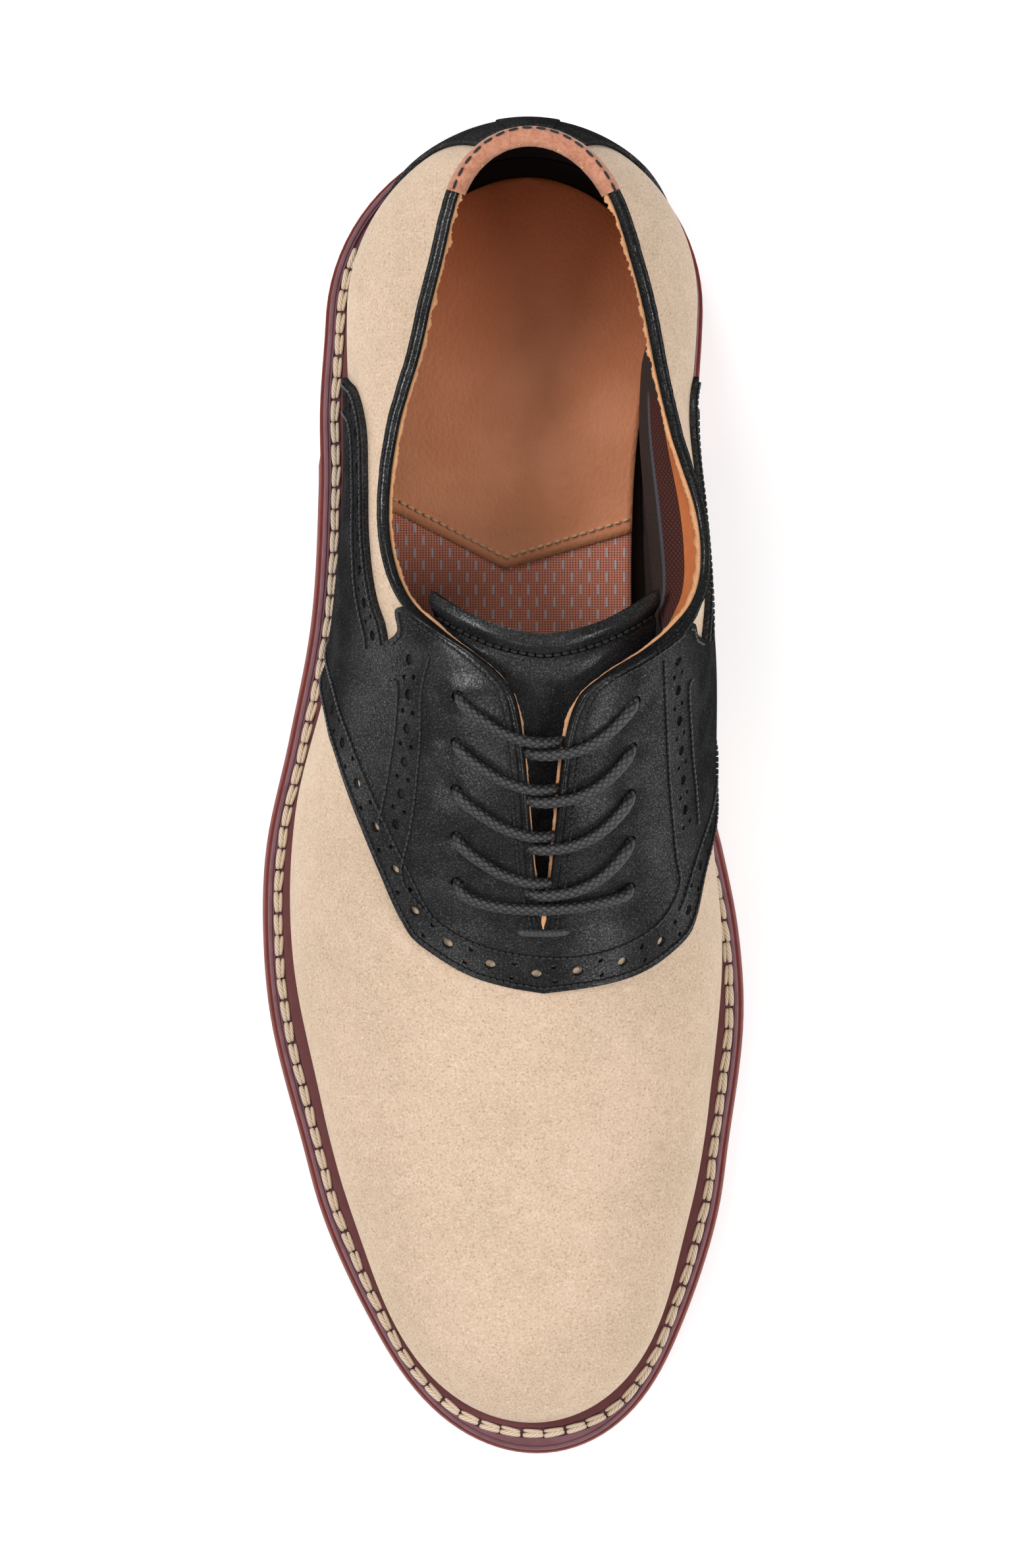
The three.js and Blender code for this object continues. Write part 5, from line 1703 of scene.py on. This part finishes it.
rings = resample(smooth_route(route), LACE_STEP)
LACE_LENGTH = len(rings) * LACE_STEP
print("the lace shows and hides", round(LACE_LENGTH / MM), "mm")


# %% Braid the lace
def make_lace_finish():
    finish = Finish("waxed_lace")
    chart = finish.chart()
    along = finish.axis(chart, 0) * (LACE_LENGTH / BRAID_PITCH)
    around = finish.axis(chart, 1) * BRAID_STRANDS
    one, two = (along + around).fraction(), (along - around).fraction()
    strand = ((one - 0.5).absolute() * 2).most((two - 0.5).absolute() * 2)
    fibre = finish.grain(0.14 * MM, 3, 0.75)
    # Painted shade in the gaps between the strands, and painted highlights on the raised fibres.
    tone = finish.blend(color(62, 62, 64), color(6, 6, 7), strand.between(0.5, 0.85))
    tone = finish.blend(tone, color(150, 150, 152), fibre.between(0.55, 0.8) * 0.7)
    finish.raise_by(1 - strand, 0.16 * MM, 0.6)
    finish.raise_by(fibre, 0.08 * MM, 0.7)
    return finish.done(Base_Color=tone, Roughness=0.34 + fibre * 0.2)


def tube(bm, spots, sides, radius_at):
    """A closed tube through (point, direction) spots, with radius_at(share of the way, share round)."""
    up, frames_ = Vector((0, 0, 1)), []
    for point, along in spots:
        aside = along.cross(up)
        aside = aside.normalized() if aside.length > 1e-3 else Vector((1, 0, 0))
        up = aside.cross(along).normalized()
        frames_.append((point, aside, up))

    def at(a, b):
        point, aside, above = pick(frames_, a)
        angle, radius = 2 * math.pi * b, radius_at(a, b)
        return point + aside * math.cos(angle) * radius + above * math.sin(angle) * radius

    lay(bm, len(spots) - 1, sides, at)


def build_lace():
    bm = bmesh.new()
    count = len(rings) - 1

    def radius_at(a, b):
        i = round(a * count)
        along = i * LACE_STEP / BRAID_PITCH
        strand = max(abs((along + way * BRAID_STRANDS * b) % 1 - 0.5) for way in (1, -1)) * 2
        end = round_end(min(i, count - i) * LACE_STEP, LACE_DIAMETER / 2)
        return LACE_DIAMETER / 2 * end * (1.05 - 0.11 * strand)

    tube(bm, rings, LACE_SIDES, radius_at)
    nodes = [f"lace_crossing_{row + 1}" for row in range(EYELET_ROWS - 1)] + ["lace_bar"]
    piece("lace", bm, make_lace_finish(), nodes, closed=True, merge=0.01 * MM)


build_lace()

# %% Bar tack
TACK_WIDTH, TACK_ACROSS, TACK_WRAP = 11 * MM, 1.6 * MM, 0.55 * MM


def build_tack():
    """A worked bar of thread that closes the throat. Its ends dive into the leather."""
    bm = bmesh.new()
    share, points = THROAT_END + 0.6 * MM / LENGTH, []
    for i in range(61):
        across = i / 30 - 1
        lift = PANEL_TOP + 0.5 * MM - 1.3 * MM * abs(across) ** 8
        points.append(over_instep(across * TACK_WIDTH / 2, share, lift))
    ways = [(b - a).normalized() for a, b in zip([points[0]] + points, points[1:] + [points[-1]])]
    wrap = lambda a, b: 0.045 * MM * abs(math.sin(math.pi * (a * TACK_WIDTH / TACK_WRAP + b)))
    radius_at = lambda a, b: TACK_ACROSS / 2 * round_end(min(a, 1 - a) * 6, 0.5) + wrap(a, b)
    tube(bm, list(zip(points, ways)), 14, radius_at)
    piece("throat_bar_tack", bm, TACK_THREAD, ["throat_tack"], closed=True)


build_tack()


def build_wedge():
    """The tip of the tan lining, which shows where the slit closes."""
    bm = bmesh.new()
    start, end = THROAT_END - 3.6 * MM / LENGTH, THROAT_END - 0.5 * MM / LENGTH

    def at(a, b):
        across = (b - 0.5) * mix(1.5, 0.3, a) * MM
        return over_instep(across, mix(start, end, a), PANEL_TOP + mix(0.7, 0.8, a) * MM)

    lay(bm, 10, 6, at)
    thicken(piece("slit_lining", bm, RAW_EDGE), 0.6 * MM)


build_wedge()

# %% [markdown]
# ## Floor and light
# The shoe stands on a plain white floor under soft light from all round, with a large soft lamp on each side
# that draws the long highlights on the black leather.

# %% Floor
FLOOR_SIZE = 6


def make_floor():
    finish = Finish("pale_floor")
    cloud = finish.grain(0.3, 2)
    tone = finish.blend(color(250, 250, 250), color(246, 246, 246), cloud)
    return finish.done(Base_Color=tone, Roughness=0.9, Emission_Color=(1, 1, 1, 1), Emission_Strength=0.4)


bm = bmesh.new()
bmesh.ops.create_grid(bm, x_segments=1, y_segments=1, size=FLOOR_SIZE)
floor = bare_object("floor", bm)
floor.data.materials.append(make_floor())


# %% Lamps
def lamp(name, location, size, power):
    light = bpy.data.lights.new(name, "AREA")
    light.shape, light.size, light.energy = "DISK", size, power
    made = bpy.data.objects.new(name, light)
    made.location = location
    made.rotation_euler = (-Vector(location)).to_track_quat("-Z", "Y").to_euler()
    scene.collection.objects.link(made)


world = bpy.data.worlds.new("studio")
world.use_nodes = True
for name, value in (("Color", (1, 1, 1, 1)), ("Strength", 0.07)):
    world.node_tree.nodes["Background"].inputs[name].default_value = value
scene.world = world
for name, location, size, power in (
    ("top_softbox", (0, 0.1, 2.0), 1.3, 5.4),
    ("left_softbox", (-1.0, 0.25, 1.15), 0.55, 11),
    ("right_softbox", (1.0, -0.25, 1.2), 0.55, 9),
    ("front_left_softbox", (-0.75, -0.95, 1.1), 0.7, 4.6),
    ("front_right_softbox", (0.85, -0.95, 0.9), 0.7, 4.6),
    ("back_softbox", (-0.35, 1.1, 1.2), 0.4, 4),
):
    lamp(name, location, size, power)
print(len(bpy.data.lights), "lamps")
